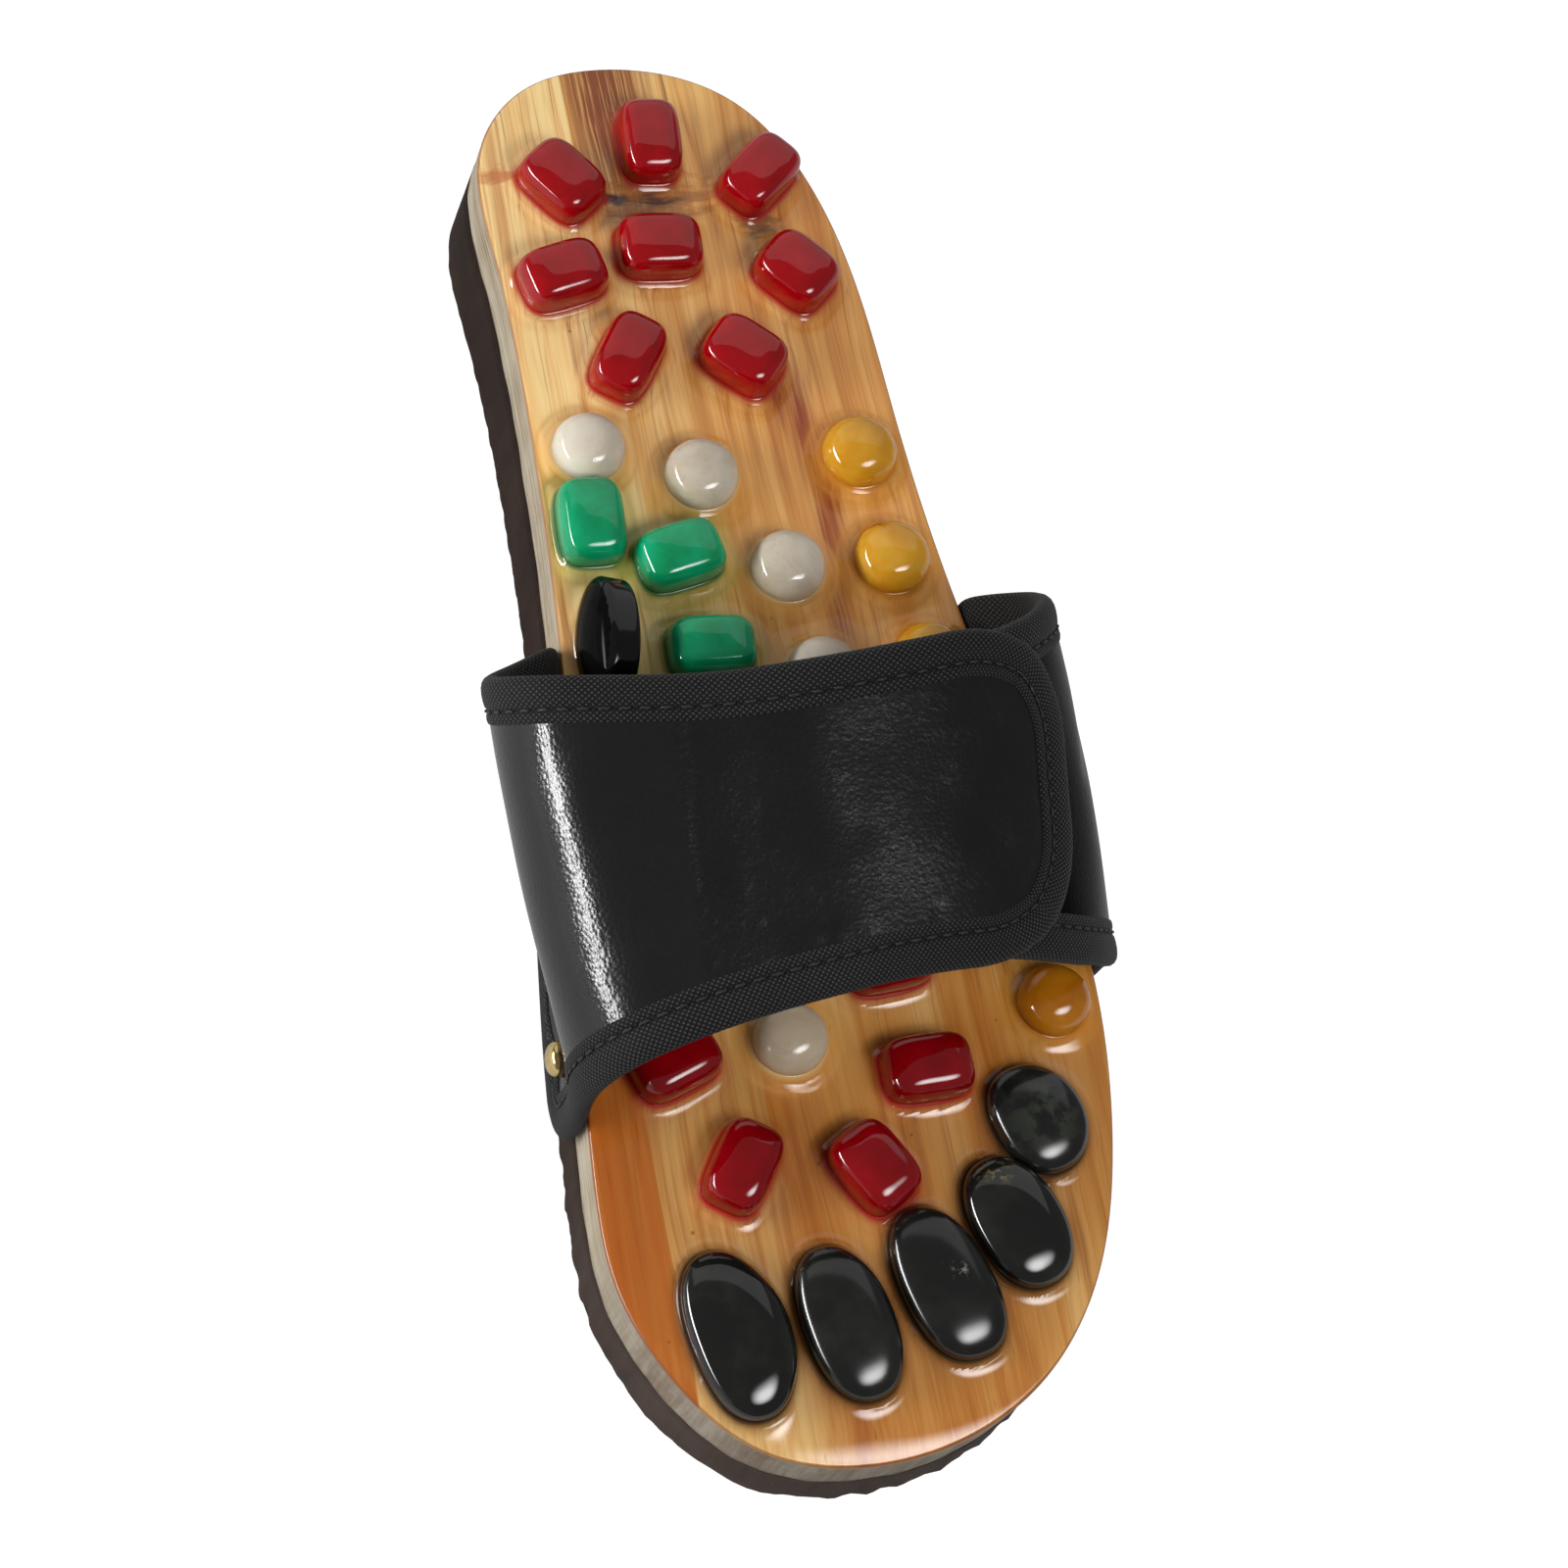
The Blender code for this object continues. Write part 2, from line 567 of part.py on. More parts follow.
def stone(name, kind, x, y, length, width, height, turn):
    profile = STONE_PROFILES[kind]
    power = 2 / STONE_SQUARENESS[kind]
    turn = math.radians(turn)
    angles = np.linspace(0, 2 * math.pi, STONE_SIDES, endpoint=False)
    shares = outline_shares(name, angles)
    points = []
    for height_share, size_share in profile:
        for angle, share in zip(angles, shares * size_share):
            along = math.copysign(abs(math.cos(angle)) ** power, math.cos(angle))
            across = math.copysign(abs(math.sin(angle)) ** power, math.sin(angle))
            a = along * length / 2 * share
            b = across * width / 2 * share
            points.append((x + a * math.cos(turn) - b * math.sin(turn),
                           y + a * math.sin(turn) + b * math.cos(turn),
                           GAP + height * height_share))
    faces = ring_faces(len(profile), STONE_SIDES)
    return add_solid(name, on_board(points), faces, stone_finish(name), STONE_SHARP_ANGLE)


def arch_disc():
    """Oval disc on its cut edge, domed on its medial face, its top leaning to the lateral side."""
    lean, turn = math.radians(ARCH_DISC_LEAN), math.radians(ARCH_DISC_TURN)
    half_height = ARCH_DISC_HEIGHT * ARCH_DISC_WHOLE / 2
    middle = ARCH_DISC_HEIGHT - half_height
    points = []
    for thickness_share, rim_share in ARCH_DISC_SECTION:
        out = thickness_share * ARCH_DISC_THICKNESS / 2
        drop = (out * math.tan(lean) - middle) / (half_height * rim_share)
        cut = math.asin(max(drop, -1.0))
        for angle in np.linspace(cut, math.pi - cut, ARCH_DISC_SIDES, endpoint=drop > -1):
            along = math.cos(angle) * ARCH_DISC_LENGTH / 2 * rim_share
            up = math.sin(angle) * half_height * rim_share + middle
            side = out * math.cos(lean) + up * math.sin(lean)
            points.append((ARCH_DISC_PLACE[0] + side * math.cos(turn) + along * math.sin(turn),
                           ARCH_DISC_PLACE[1] - side * math.sin(turn) + along * math.cos(turn),
                           GAP + up * math.cos(lean) - out * math.sin(lean)))
    faces = ring_faces(len(ARCH_DISC_SECTION), ARCH_DISC_SIDES)
    return add_solid("stone_black_arch", on_board(points), faces, "black_stone", STONE_SHARP_ANGLE)


def centre_on_floor(pieces):
    """Moves the whole part so that the middle of its box's underside is the origin."""
    bpy.context.view_layer.update()
    corners = np.array([vertex.co for piece in pieces for vertex in piece.data.vertices])
    low, high = corners.min(axis=0), corners.max(axis=0)
    shift = np.array([-(low[0] + high[0]) / 2, -(low[1] + high[1]) / 2, -low[2]])
    for piece in pieces:
        piece.location = shift


def main():
    clear_scene()
    outsole()
    footbed()
    upper()
    for side, stations in TACK_STATIONS.items():
        for number, station in enumerate(stations, start=1):
            tack("tack_%s_%d" % (side, number), side, station)
    for row in STONES:
        stone(*row)
    arch_disc()
    centre_on_floor(list(bpy.context.collection.objects))


main()
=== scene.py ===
import math

import bmesh
import bpy
import numpy as np
from mathutils import Matrix, Vector


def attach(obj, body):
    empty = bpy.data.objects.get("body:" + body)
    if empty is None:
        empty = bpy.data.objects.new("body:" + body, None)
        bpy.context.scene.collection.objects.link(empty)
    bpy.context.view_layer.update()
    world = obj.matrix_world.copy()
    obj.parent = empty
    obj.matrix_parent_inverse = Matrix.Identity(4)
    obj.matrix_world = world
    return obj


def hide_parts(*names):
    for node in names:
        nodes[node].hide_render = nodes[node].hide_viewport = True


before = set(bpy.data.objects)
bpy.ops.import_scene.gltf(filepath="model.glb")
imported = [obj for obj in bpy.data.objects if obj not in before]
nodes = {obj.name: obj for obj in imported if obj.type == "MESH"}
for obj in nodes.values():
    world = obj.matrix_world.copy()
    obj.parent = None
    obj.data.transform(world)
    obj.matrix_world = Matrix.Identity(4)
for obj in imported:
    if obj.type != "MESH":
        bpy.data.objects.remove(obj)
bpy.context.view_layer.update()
mm = 0.001
weld = 0.00001

# Board places are x, y and the height over the footbed's top, in millimetres: y runs to the heel
board = {"slope": math.radians(1.99746), "origin": (2.0658, -0.3885, 28.2), "thickness": 12.0}
boardSine, boardCosine = math.sin(board["slope"]), math.cos(board["slope"])


def onBoard(points):
    x, y, height = np.moveaxis(np.asarray(points, float), -1, 0)
    lifted = [x, y * boardCosine - height * boardSine, y * boardSine + height * boardCosine]
    return (np.stack(lifted, axis=-1) + board["origin"]) * mm


def toBoard(points):
    x, y, z = np.moveaxis(np.asarray(points, float) / mm - board["origin"], -1, 0)
    return np.stack([x, y * boardCosine + z * boardSine, z * boardCosine - y * boardSine], axis=-1)


def nodePoints(name):
    return toBoard([vertex.co for vertex in nodes[name].data.vertices])


def ease(value):
    value = np.clip(value, 0.0, 1.0)
    return value * value * (3 - 2 * value)


def hump(distance, width):
    return np.exp(-(distance / width) ** 2)


def lengths(rows):
    return np.linalg.norm(rows, axis=1)


def unit(rows):
    return rows / np.clip(lengths(rows), 1e-9, None)[:, None]


# a and b measured on a rounded square: a power of 2 gives a circle, more gives squarer corners
def squareLength(a, b, power):
    return (abs(a) ** power + abs(b) ** power) ** (1 / power)


# way to each point of a path, and the points of a line at wanted ways
def wayAlong(path):
    return np.concatenate([[0.0], np.cumsum(lengths(np.diff(path, axis=0)))])


def pointsAt(wanted, way, path):
    return np.column_stack([np.interp(wanted, way, column) for column in path.T])


# natural cubic curve through values at the knots
def cubicThrough(knots, values, wanted):
    count = len(knots)
    step = np.diff(knots)
    slope = np.diff(values, axis=0) / step[:, None]
    system = np.eye(count)
    target = np.zeros_like(values)
    for row in range(1, count - 1):
        system[row, row - 1:row + 2] = step[row - 1], 2 * (step[row - 1] + step[row]), step[row]
        target[row] = 6 * (slope[row] - slope[row - 1])
    bend = np.linalg.solve(system, target)
    span = np.clip(np.searchsorted(knots, wanted, side="right") - 1, 0, count - 2)
    after = (wanted - knots[span])[:, None]
    before = (knots[span + 1] - wanted)[:, None]
    width = step[span][:, None]
    ends = (bend[span] * before ** 3 + bend[span + 1] * after ** 3) / (6 * width)
    first = (values[span] / width - bend[span] * width / 6) * before
    second = (values[span + 1] / width - bend[span + 1] * width / 6) * after
    return ends + first + second


# Shader wires: sums on them add Math nodes to the same material
class Wire:
    def __init__(self, tree, socket):
        self.tree = tree
        self.socket = socket

    def add(self, kind, settings, inputs, output=0):
        made = self.tree.nodes.new("ShaderNode" + kind)
        for name, value in settings.items():
            if name == "stops":
                setStops(made.color_ramp, value)
            else:
                setattr(made, name, value)
        for name, value in inputs.items():
            if isinstance(value, Wire):
                self.tree.links.new(value.socket, made.inputs[name])
            else:
                made.inputs[name].default_value = value
        return Wire(self.tree, made.outputs[output])

    def sum(self, operation, first, second=0.0):
        return self.add("Math", {"operation": operation}, {0: first, 1: second})

    def __add__(self, other):
        return self.sum("ADD", self, other)

    def __sub__(self, other):
        return self.sum("SUBTRACT", self, other)

    def __rsub__(self, other):
        return self.sum("SUBTRACT", other, self)

    def __mul__(self, other):
        return self.sum("MULTIPLY", self, other)

    def __truediv__(self, other):
        return self.sum("DIVIDE", self, other)

    def __abs__(self):
        return self.sum("ABSOLUTE", self)

    __radd__ = __add__
    __rmul__ = __mul__

    def sine(self):
        return self.sum("SINE", self)

    # rises from 0 to 1 between low and high, softly
    def between(self, low, high):
        return self.add("MapRange", {"interpolation_type": "SMOOTHSTEP"},
                        {"Value": self, "From Min": low, "From Max": high})

    # 1 at the middle, falling to 0 at the reach
    def near(self, middle, reach):
        return 1 - (abs(self - middle) / reach).between(0.0, 1.0)

    def axis(self, letter):
        return self.add("SeparateXYZ", {}, {0: self}, "XYZ".index(letter))

    # of a place: its height over the board's top
    def over(self):
        return self.axis("Z") * boardCosine - self.axis("Y") * boardSine

    # of a place: 1 on the toe side of the strap, where the stones take the strap's painted shade
    def front(self):
        return self.axis("Y").between(-35.0, -60.0)

    def stretch(self, scale, move=(0.0, 0.0, 0.0)):
        return self.add("Mapping", {}, {"Vector": self, "Scale": scale, "Location": move})

    def noise(self, scale, detail=3.0, roughness=0.5, distortion=0.0):
        return self.add("TexNoise", {}, {"Vector": self, "Scale": scale, "Detail": detail,
                                         "Roughness": roughness, "Distortion": distortion})

    def cells(self, scale, smooth):
        return self.add("TexVoronoi", {"feature": "SMOOTH_F1"},
                        {"Vector": self, "Scale": scale, "Smoothness": smooth})

    def ramp(self, *stops):
        return self.add("ValToRGB", {"stops": stops}, {0: self})

    def mix(self, other, share, blend="MIX"):
        other = other if isinstance(other, Wire) else (*other, 1.0)
        return self.add("Mix", {"data_type": "RGBA", "blend_type": blend}, {0: share, 6: self, 7: other}, 2)

    def bump(self, distance, strength):
        return self.add("Bump", {}, {"Height": self, "Distance": distance * mm, "Strength": strength})


def setStops(ramp, stops):
    while len(ramp.elements) < len(stops):
        ramp.elements.new(1.0)
    for element, (place, colour) in zip(ramp.elements, stops):
        element.position = place
        element.color = (*colour, 1.0)


class Finish:
    def __init__(self, name, constants):
        self.material = bpy.data.materials.new(name)
        self.material.use_nodes = True
        self.tree = self.material.node_tree
        self.shader = self.tree.nodes["Principled BSDF"]
        for socket, value in constants.items():
            self.shader.inputs[socket].default_value = value

    # Object coordinates in board millimetres, apart from the slope
    def place(self):
        start = Wire(self.tree, self.tree.nodes.new("ShaderNodeTexCoord").outputs["Object"])
        scaled = start.add("VectorMath", {"operation": "SCALE"}, {0: start, "Scale": 1 / mm})
        return scaled.add("VectorMath", {"operation": "SUBTRACT"}, {0: scaled, 1: board["origin"]})

    def map(self):
        return Wire(self.tree, self.tree.nodes.new("ShaderNodeUVMap").outputs["UV"])

    def attribute(self, name, output="Fac"):
        made = self.tree.nodes.new("ShaderNodeAttribute")
        made.attribute_name = name
        return Wire(self.tree, made.outputs[output])

    def feed(self, **wires):
        for name, wire in wires.items():
            self.tree.links.new(wire.socket, self.shader.inputs[name.replace("_", " ")])
        return self.material


# Mesh work
def corners(verts):
    return np.array([vertex.co for vertex in verts])


def moveTo(verts, points):
    for vertex, point in zip(verts, points):
        vertex.co = point


# moves vertices to spots x and y on the board, at one height or at a height each
def lay(verts, spots, height):
    moveTo(verts, onBoard(np.column_stack([spots, np.broadcast_to(height, len(spots))])))


# finely cut cube, its points spread evenly for a ball
def ballCube(cuts):
    shape = bmesh.new()
    bmesh.ops.create_cube(shape, size=2.0)
    bmesh.ops.subdivide_edges(shape, edges=shape.edges, cuts=cuts, use_grid_fill=True)
    return shape, np.tan(corners(shape.verts) * math.pi / 4)


# grid of faces, with the column and row of each of its vertices
def countedGrid(shape, columns, rows):
    verts = bmesh.ops.create_grid(shape, x_segments=columns, y_segments=rows, size=1.0)["verts"]
    column, row = np.rint((corners(verts)[:, :2] + 1) / 2 * (columns, rows)).astype(int).T
    return verts, column, row


# pulls the open rim on to a new ring and hands back the ring's vertices
def growRim(shape):
    rim = [edge for edge in shape.edges if edge.is_boundary]
    made = bmesh.ops.extrude_edge_only(shape, edges=rim)["geom"]
    return [item for item in made if isinstance(item, bmesh.types.BMVert)]


def closeRim(shape):
    rim = [edge for edge in shape.edges if edge.is_boundary]
    bmesh.ops.contextual_create(shape, geom=rim)


def addObject(name, data):
    made = bpy.data.objects.new(name, data)
    bpy.context.scene.collection.objects.link(made)
    return made


def addMesh(name, shape, materials):
    mesh = bpy.data.meshes.new(name)
    shape.to_mesh(mesh)
    shape.free()
    for material in materials:
        mesh.materials.append(material)
    return addObject(name, mesh)


def addPiece(name, shape, materials, replaced=()):
    bmesh.ops.recalc_face_normals(shape, faces=shape.faces)
    piece = addMesh(name, shape, materials)
    piece.data.shade_smooth()
    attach(piece, "root")
    if replaced:
        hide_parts(*replaced)
    return piece


# camera or light at a place, turned to its aim
def addAimed(name, data, place, aim, roll=0.0):
    made = addObject(name, data)
    turn = (Vector(aim) - Vector(place)).to_track_quat("-Z", "Y").to_matrix().to_4x4()
    made.matrix_world = Matrix.Translation(place) @ turn @ Matrix.Rotation(math.radians(roll), 4, "Z")
    return made


# Camera
view = {"place": (-0.22789, -0.29825, 0.76043), "aim": (0.00223, -0.01097, 0.025), "roll": 29.424,
        "lens": 103.08, "sensor": 36.0}


def addCamera():
    data = bpy.data.cameras.new("camera")
    data.lens = view["lens"]
    data.sensor_width = view["sensor"]
    data.clip_start = 0.05
    bpy.context.scene.camera = addAimed("camera", data, view["place"], view["aim"], view["roll"])


# Sole outline, read from the footbed's lowest ring
def footbedSides():
    points = nodePoints("footbed")
    ring = points[points[:, 2] < points[:, 2].min() + 0.1][:, :2]
    ring = np.unique(np.round(ring, 3), axis=0)
    ring = ring[np.argsort(ring[:, 1])]
    toe, heel, inner = ring[0], ring[-1], ring[1:-1]
    line = toe[0] + (heel[0] - toe[0]) * (inner[:, 1] - toe[1]) / (heel[1] - toe[1])
    return {"medial": np.vstack([toe, inner[inner[:, 0] < line], heel]),
            "lateral": np.vstack([toe, inner[inner[:, 0] > line], heel])}


soleSides = footbedSides()
toeY, heelY = soleSides["medial"][0, 1], soleSides["medial"][-1, 1]
midY, halfY = (heelY + toeY) / 2, (heelY - toeY) / 2
halfWidth = 45.0


def sideX(side, y):
    curve = soleSides[side]
    knots = np.arccos(np.clip((midY - curve[:, 1]) / halfY, -1, 1))
    wanted = np.arccos(np.clip((midY - y) / halfY, -1, 1))
    return cubicThrough(knots, curve[:, :1], wanted)[:, 0]


# a point of the unit disc becomes a point inside the sole's outline, moved outwards by outset
def discToSole(disc, outset):
    dx, dy = disc[:, 0], disc[:, 1]
    y = midY + halfY * dy
    medial, lateral = sideX("medial", y), sideX("lateral", y)
    share = np.clip(dx / np.sqrt(np.clip(1 - dy ** 2, 1e-9, None)), -1, 1)
    x = (medial + lateral) / 2 + share * (lateral - medial) / 2
    along = unit(np.column_stack([dx / halfWidth, dy / halfY]))
    return np.column_stack([x, y]) + along * (np.hypot(dx, dy) * outset)[:, None]


# the disc place of a point inside the sole's outline
def soleToDisc(spots):
    y = np.clip(spots[:, 1], toeY + 0.01, heelY - 0.01)
    medial, lateral = sideX("medial", y), sideX("lateral", y)
    share = (2 * spots[:, 0] - medial - lateral) / (lateral - medial)
    dy = (y - midY) / halfY
    return np.column_stack([share * np.sqrt(1 - dy ** 2), dy])


# millimetres in from the sole's rim, with the rim's nearest place
def rimAway(spots):
    disc = soleToDisc(spots)
    radius = np.clip(lengths(disc), 1e-6, None)
    rim = discToSole(disc / radius[:, None], 0.0)
    return lengths(rim - spots) * np.sign(1 - radius), rim


# grid whose square is bent to the unit disc, with each vertex keeping its disc place
def discGrid(columns, rows):
    shape = bmesh.new()
    layer = shape.verts.layers.float_vector.new("disc")
    bmesh.ops.create_grid(shape, x_segments=columns, y_segments=rows, size=1.0)
    for vertex in shape.verts:
        u, v = vertex.co.x, vertex.co.y
        vertex[layer] = (u * math.sqrt(1 - v * v / 2), v * math.sqrt(1 - u * u / 2), 0.0)
    return shape


def discPlaces(shape, verts):
    layer = shape.verts.layers.float_vector["disc"]
    return np.array([vertex[layer][:2] for vertex in verts])


# Stones: squareness in plan and upright, height share of the widest place
stoneForms = {
    "pillow": {"plan": 3.7, "upright": 3.6, "widest": 0.24},
    "dome": {"plan": 2.0, "upright": 2.5, "widest": 0.2},
    "pebble": {"plan": 2.25, "upright": 2.6, "widest": 0.3},
}
# resin round a stone: how high it climbs and how fast that falls, the painted halo that the stone gives it
# (its colour reflected in the resin, and painted shadow round the dark stones), how strong and how wide, the
# height of its pool, the painted ring of that halo round the pool, and the stone's tone behind the resin
kindColumns = ("form", "climb", "fall", "tint", "strength", "spread", "pool", "ring", "skin")
stoneKinds = {
    "red": ("pillow", 1.4, 1.2, (0.36, 0.035, 0.010), 0.8, 1.2, 0.07, 0.12, (0.36, 0.008, 0.007)),
    "green": ("pillow", 1.4, 1.2, (0.34, 0.32, 0.06), 0.7, 3.6, 0.12, 0.2, (0.010, 0.12, 0.030)),
    "white": ("dome", 1.3, 1.3, (0.70, 0.33, 0.075), 0.75, 2.6, 0.2, 0.34, (0.66, 0.44, 0.19)),
    "yellow": ("dome", 1.3, 1.3, (0.62, 0.25, 0.02), 0.75, 2.4, 0.2, 0.34, (0.50, 0.17, 0.006)),
    "toe": ("pebble", 1.6, 1.35, (0.13, 0.050, 0.010), 0.85, 1.6, 0.0, 0.0, (0.020, 0.011, 0.005)),
    "black": ("dome", 1.6, 1.3, (0.012, 0.010, 0.008), 1.0, 1.2, 0.0, 0.0, (0.006, 0.005, 0.004)),
}
# toe pebbles: x, y, length, width and turn, then shares of the oval each eighth of a turn from the toe end
pebbles = {
    "stone_toe_1": (-29.9, -112.2, 30.6, 18.6, -81.0, (1.00, 0.96, 1.02, 0.95, 1.02, 1.00, 0.92, 0.96)),
    "stone_toe_2": (-9.8, -112.6, 28.0, 16.8, -81.0, (1.03, 1.02, 0.97, 0.95, 1.01, 1.03, 1.00, 1.03)),
    "stone_toe_3": (9.2, -108.3, 28.6, 17.0, -76.0, (1.00, 1.06, 0.98, 0.96, 1.03, 1.03, 1.00, 1.01)),
    "stone_toe_4": (24.6, -99.3, 25.0, 16.8, -73.0, (0.98, 1.00, 1.01, 0.97, 1.03, 1.04, 1.00, 0.99)),
    "stone_toe_5": (32.7, -80.9, 20.6, 17.2, -74.0, (1.00, 0.96, 0.99, 0.95, 1.02, 1.06, 1.00, 1.00)),
}
stoneMesh = {"cuts": 15, "sunk": 0.4, "tuckUnder": 4.0, "archFoot": 1.0}


def stoneColour(name):
    return name.split("_")[1]


# place, lie and size of a stone, from the pebbles' table or from its node's points
def readStone(name):
    points = nodePoints(name)
    if name in pebbles:
        x, y, length, width, turn, shares = pebbles[name]
        middle = np.array([x, y])
        along = np.array([math.cos(math.radians(turn)), math.sin(math.radians(turn))])
        across = np.array([-along[1], along[0]])
    else:
        foot = points[points[:, 2] < stoneMesh["archFoot"]] if name == "stone_black_arch" else points
        along = np.linalg.eigh(np.cov(foot[:, :2].T))[1][:, 1]
        along = along if along[1] < 0 else -along
        across = np.array([-along[1], along[0]])
        a, b = foot[:, :2] @ along, foot[:, :2] @ across
        middle = along * (a.min() + a.max()) / 2 + across * (b.min() + b.max()) / 2
        length, width, shares = np.ptp(a), np.ptp(b), None
    kind = dict(zip(kindColumns, stoneKinds[stoneColour(name)]))
    return {"middle": middle, "along": along, "across": across, "length": length, "width": width,
            "shares": shares, "low": points[:, 2].min(), "high": points[:, 2].max(),
            **kind, **stoneForms[kind["form"]]}


stones = {name: readStone(name) for name in sorted(nodes) if name.startswith("stone_")}


# share of a stone's even outline at places a along and b across it
def outlineShare(lie, a, b):
    if lie["shares"] is None:
        return np.ones(len(a))
    half = lie["plan"] / 2
    turn = np.arctan2(np.sign(b) * abs(b) ** half, np.sign(a) * abs(a) ** half) % (2 * math.pi)
    knots = np.arange(-8, 17) * math.pi / 4
    shares = np.array(lie["shares"] * 3 + lie["shares"][:1])[:, None]
    return cubicThrough(knots, shares, turn)[:, 0]


# board spots of places a along and b across a stone, where its even outline is at 1
def stoneSpots(lie, a, b):
    share = outlineShare(lie, a, b)
    along = np.outer(a * share * lie["length"] / 2, lie["along"])
    return lie["middle"] + along + np.outer(b * share * lie["width"] / 2, lie["across"])


# millimetres from a stone's edge in plan, negative under it
def fromStone(lie, spots):
    away = spots - lie["middle"]
    a = away @ lie["along"] / (lie["length"] / 2)
    b = away @ lie["across"] / (lie["width"] / 2)
    share = squareLength(a, b, lie["plan"]) / outlineShare(lie, a, b)
    return lengths(away) * (1 - 1 / np.clip(share, 0.05, None))


def nearestStone(names, spots):
    return np.min([fromStone(stones[name], spots) for name in names], axis=0)


def stonePiece(name, material):
    lie = stones[name]
    shape, ball = ballCube(stoneMesh["cuts"])
    plan = squareLength(ball[:, 0], ball[:, 1], lie["plan"])
    a, b, up = (ball / squareLength(plan, ball[:, 2], lie["upright"])[:, None]).T
    rise = np.where(up > 0, 1 - lie["widest"], stoneMesh["tuckUnder"])
    height = (lie["widest"] + up * rise) * (lie["high"] - lie["low"])
    lay(shape.verts, stoneSpots(lie, a, b), lie["low"] + np.maximum(height, -stoneMesh["sunk"]))
    slotName = stoneColour(name).replace("toe", "black") + "_stone"
    return addPiece("polished_" + name, shape, [material], [name])


# Black disc on its cut edge under the arch: repeats the node's lean, with its domed medial face
archDisc = {"place": (-30.1, 18.4), "length": 23.9, "height": 11.3, "whole": 1.27, "thickness": 6.2,
            "lean": 17.0, "turn": 8.0, "edge": 9.0, "plan": 2.1, "cuts": 39, "dome": 2.5, "face": 0.93}


def archDiscPiece(rimFinish, faceFinish):
    shape, ball = ballCube(archDisc["cuts"])
    rim = squareLength(ball[:, 1], ball[:, 2], archDisc["plan"])
    out, along, up = (ball / squareLength(rim, ball[:, 0], archDisc["edge"])[:, None]).T
    rim, medial = np.hypot(along, up), out < -0.5
    dome = np.where(medial, archDisc["dome"] * np.clip(1 - rim ** 2, 0, 1), 0.0)
    half = archDisc["height"] * archDisc["whole"] / 2
    out = out * archDisc["thickness"] / 2 - dome
    along = along * archDisc["length"] / 2
    up = up * half + archDisc["height"] - half
    lean, turn = math.radians(archDisc["lean"]), math.radians(archDisc["turn"])
    side = out * math.cos(lean) + up * math.sin(lean)
    x = side * math.cos(turn) + along * math.sin(turn)
    y = along * math.cos(turn) - side * math.sin(turn)
    height = np.maximum(up * math.cos(lean) - out * math.sin(lean), -stoneMesh["sunk"])
    lay(shape.verts, np.column_stack([x, y]) + archDisc["place"], height)
    shape.verts.index_update()
    onFace = medial & (rim < archDisc["face"])
    for face in shape.faces:
        face.material_index = int(all(onFace[vertex.index] for vertex in face.verts))
    return addPiece("polished_arch_disc", shape, [rimFinish, faceFinish], ["stone_black_arch"])


# Agates: glow under the skin and its reach, clearness, the cloud's noise and tones, the tone at the foot
# (partly painted light through the stone) with the heights that it fades between and its share, and the share
# of veins
agates = {
    "red_agate": {
        "glow": 0.4, "reach": (0.004, 0.0004, 0.0004), "clear": 0.0, "cloud": (0.16, 3.0, 0.55),
        "tones": ((0.3, (0.27, 0.0008, 0.003)), (0.55, (0.33, 0.001, 0.004)), (0.75, (0.38, 0.002, 0.006))),
        "foot": (0.50, 0.006, 0.004), "fade": (2.8, 0.4), "share": 0.75, "vein": 0.0},
    "green_agate": {
        "glow": 0.4, "reach": (0.0005, 0.004, 0.0018), "clear": 0.0, "cloud": (0.14, 4.0, 0.55, 0.4),
        "tones": ((0.28, (0.002, 0.23, 0.080)), (0.5, (0.003, 0.32, 0.130)), (0.74, (0.005, 0.39, 0.18))),
        "foot": (0.001, 0.10, 0.03), "fade": (4.8, 1.4), "share": 0.8, "vein": 0.0},
    "white_agate": {
        "glow": 0.8, "reach": (0.007, 0.0055, 0.004), "clear": 0.25, "cloud": (0.11, 4.0, 0.6, 0.6),
        "tones": ((0.3, (0.62, 0.54, 0.41)), (0.5, (0.73, 0.65, 0.53)), (0.72, (0.80, 0.75, 0.66))),
        "foot": (0.60, 0.38, 0.15), "fade": (3.6, 0.6), "share": 0.75, "vein": 0.22},
    "honey_agate": {
        "glow": 0.7, "reach": (0.006, 0.003, 0.0008), "clear": 0.15, "cloud": (0.12, 3.0, 0.55, 0.4),
        "tones": ((0.3, (0.63, 0.27, 0.009)), (0.52, (0.73, 0.37, 0.020)), (0.75, (0.81, 0.47, 0.055))),
        "foot": (0.46, 0.15, 0.004), "fade": (3.6, 0.6), "share": 0.6, "vein": 0.0},
}


def polished(name, constants):
    return Finish(name, {"Roughness": 0.035, "IOR": 1.54, **constants})


def agate(name):
    stone = agates[name]
    finish = polished(name, {"Subsurface Weight": stone["glow"], "Subsurface Radius": stone["reach"],
                             "Transmission Weight": stone["clear"]})
    place = finish.place()
    colour = place.noise(*stone["cloud"]).ramp(*stone["tones"])
    if stone["vein"]:
        vein = abs(place.noise(0.13, 3.0, 0.55, 1.2) - 0.5).between(0.018, 0.0)
        colour = colour.mix((0.42, 0.34, 0.26), vein * stone["vein"])
    # the foot's tone is painted light through the stone: a brighter red glow on the red and the wood's colour
    # showing through the white; the green and honey feet are only darker
    return finish, place, colour.mix(stone["foot"], place.over().between(*stone["fade"]) * stone["share"])


def redFinish():
    finish, place, colour = agate("red_agate")
    # painted shade of the strap: the red is multiplied darker on its toe side
    return finish.feed(Base_Color=colour.mix((0.72, 0.62, 0.85), place.front(), "MULTIPLY"))


def greenFinish():
    finish, place, colour = agate("green_agate")
    return finish.feed(Base_Color=colour)
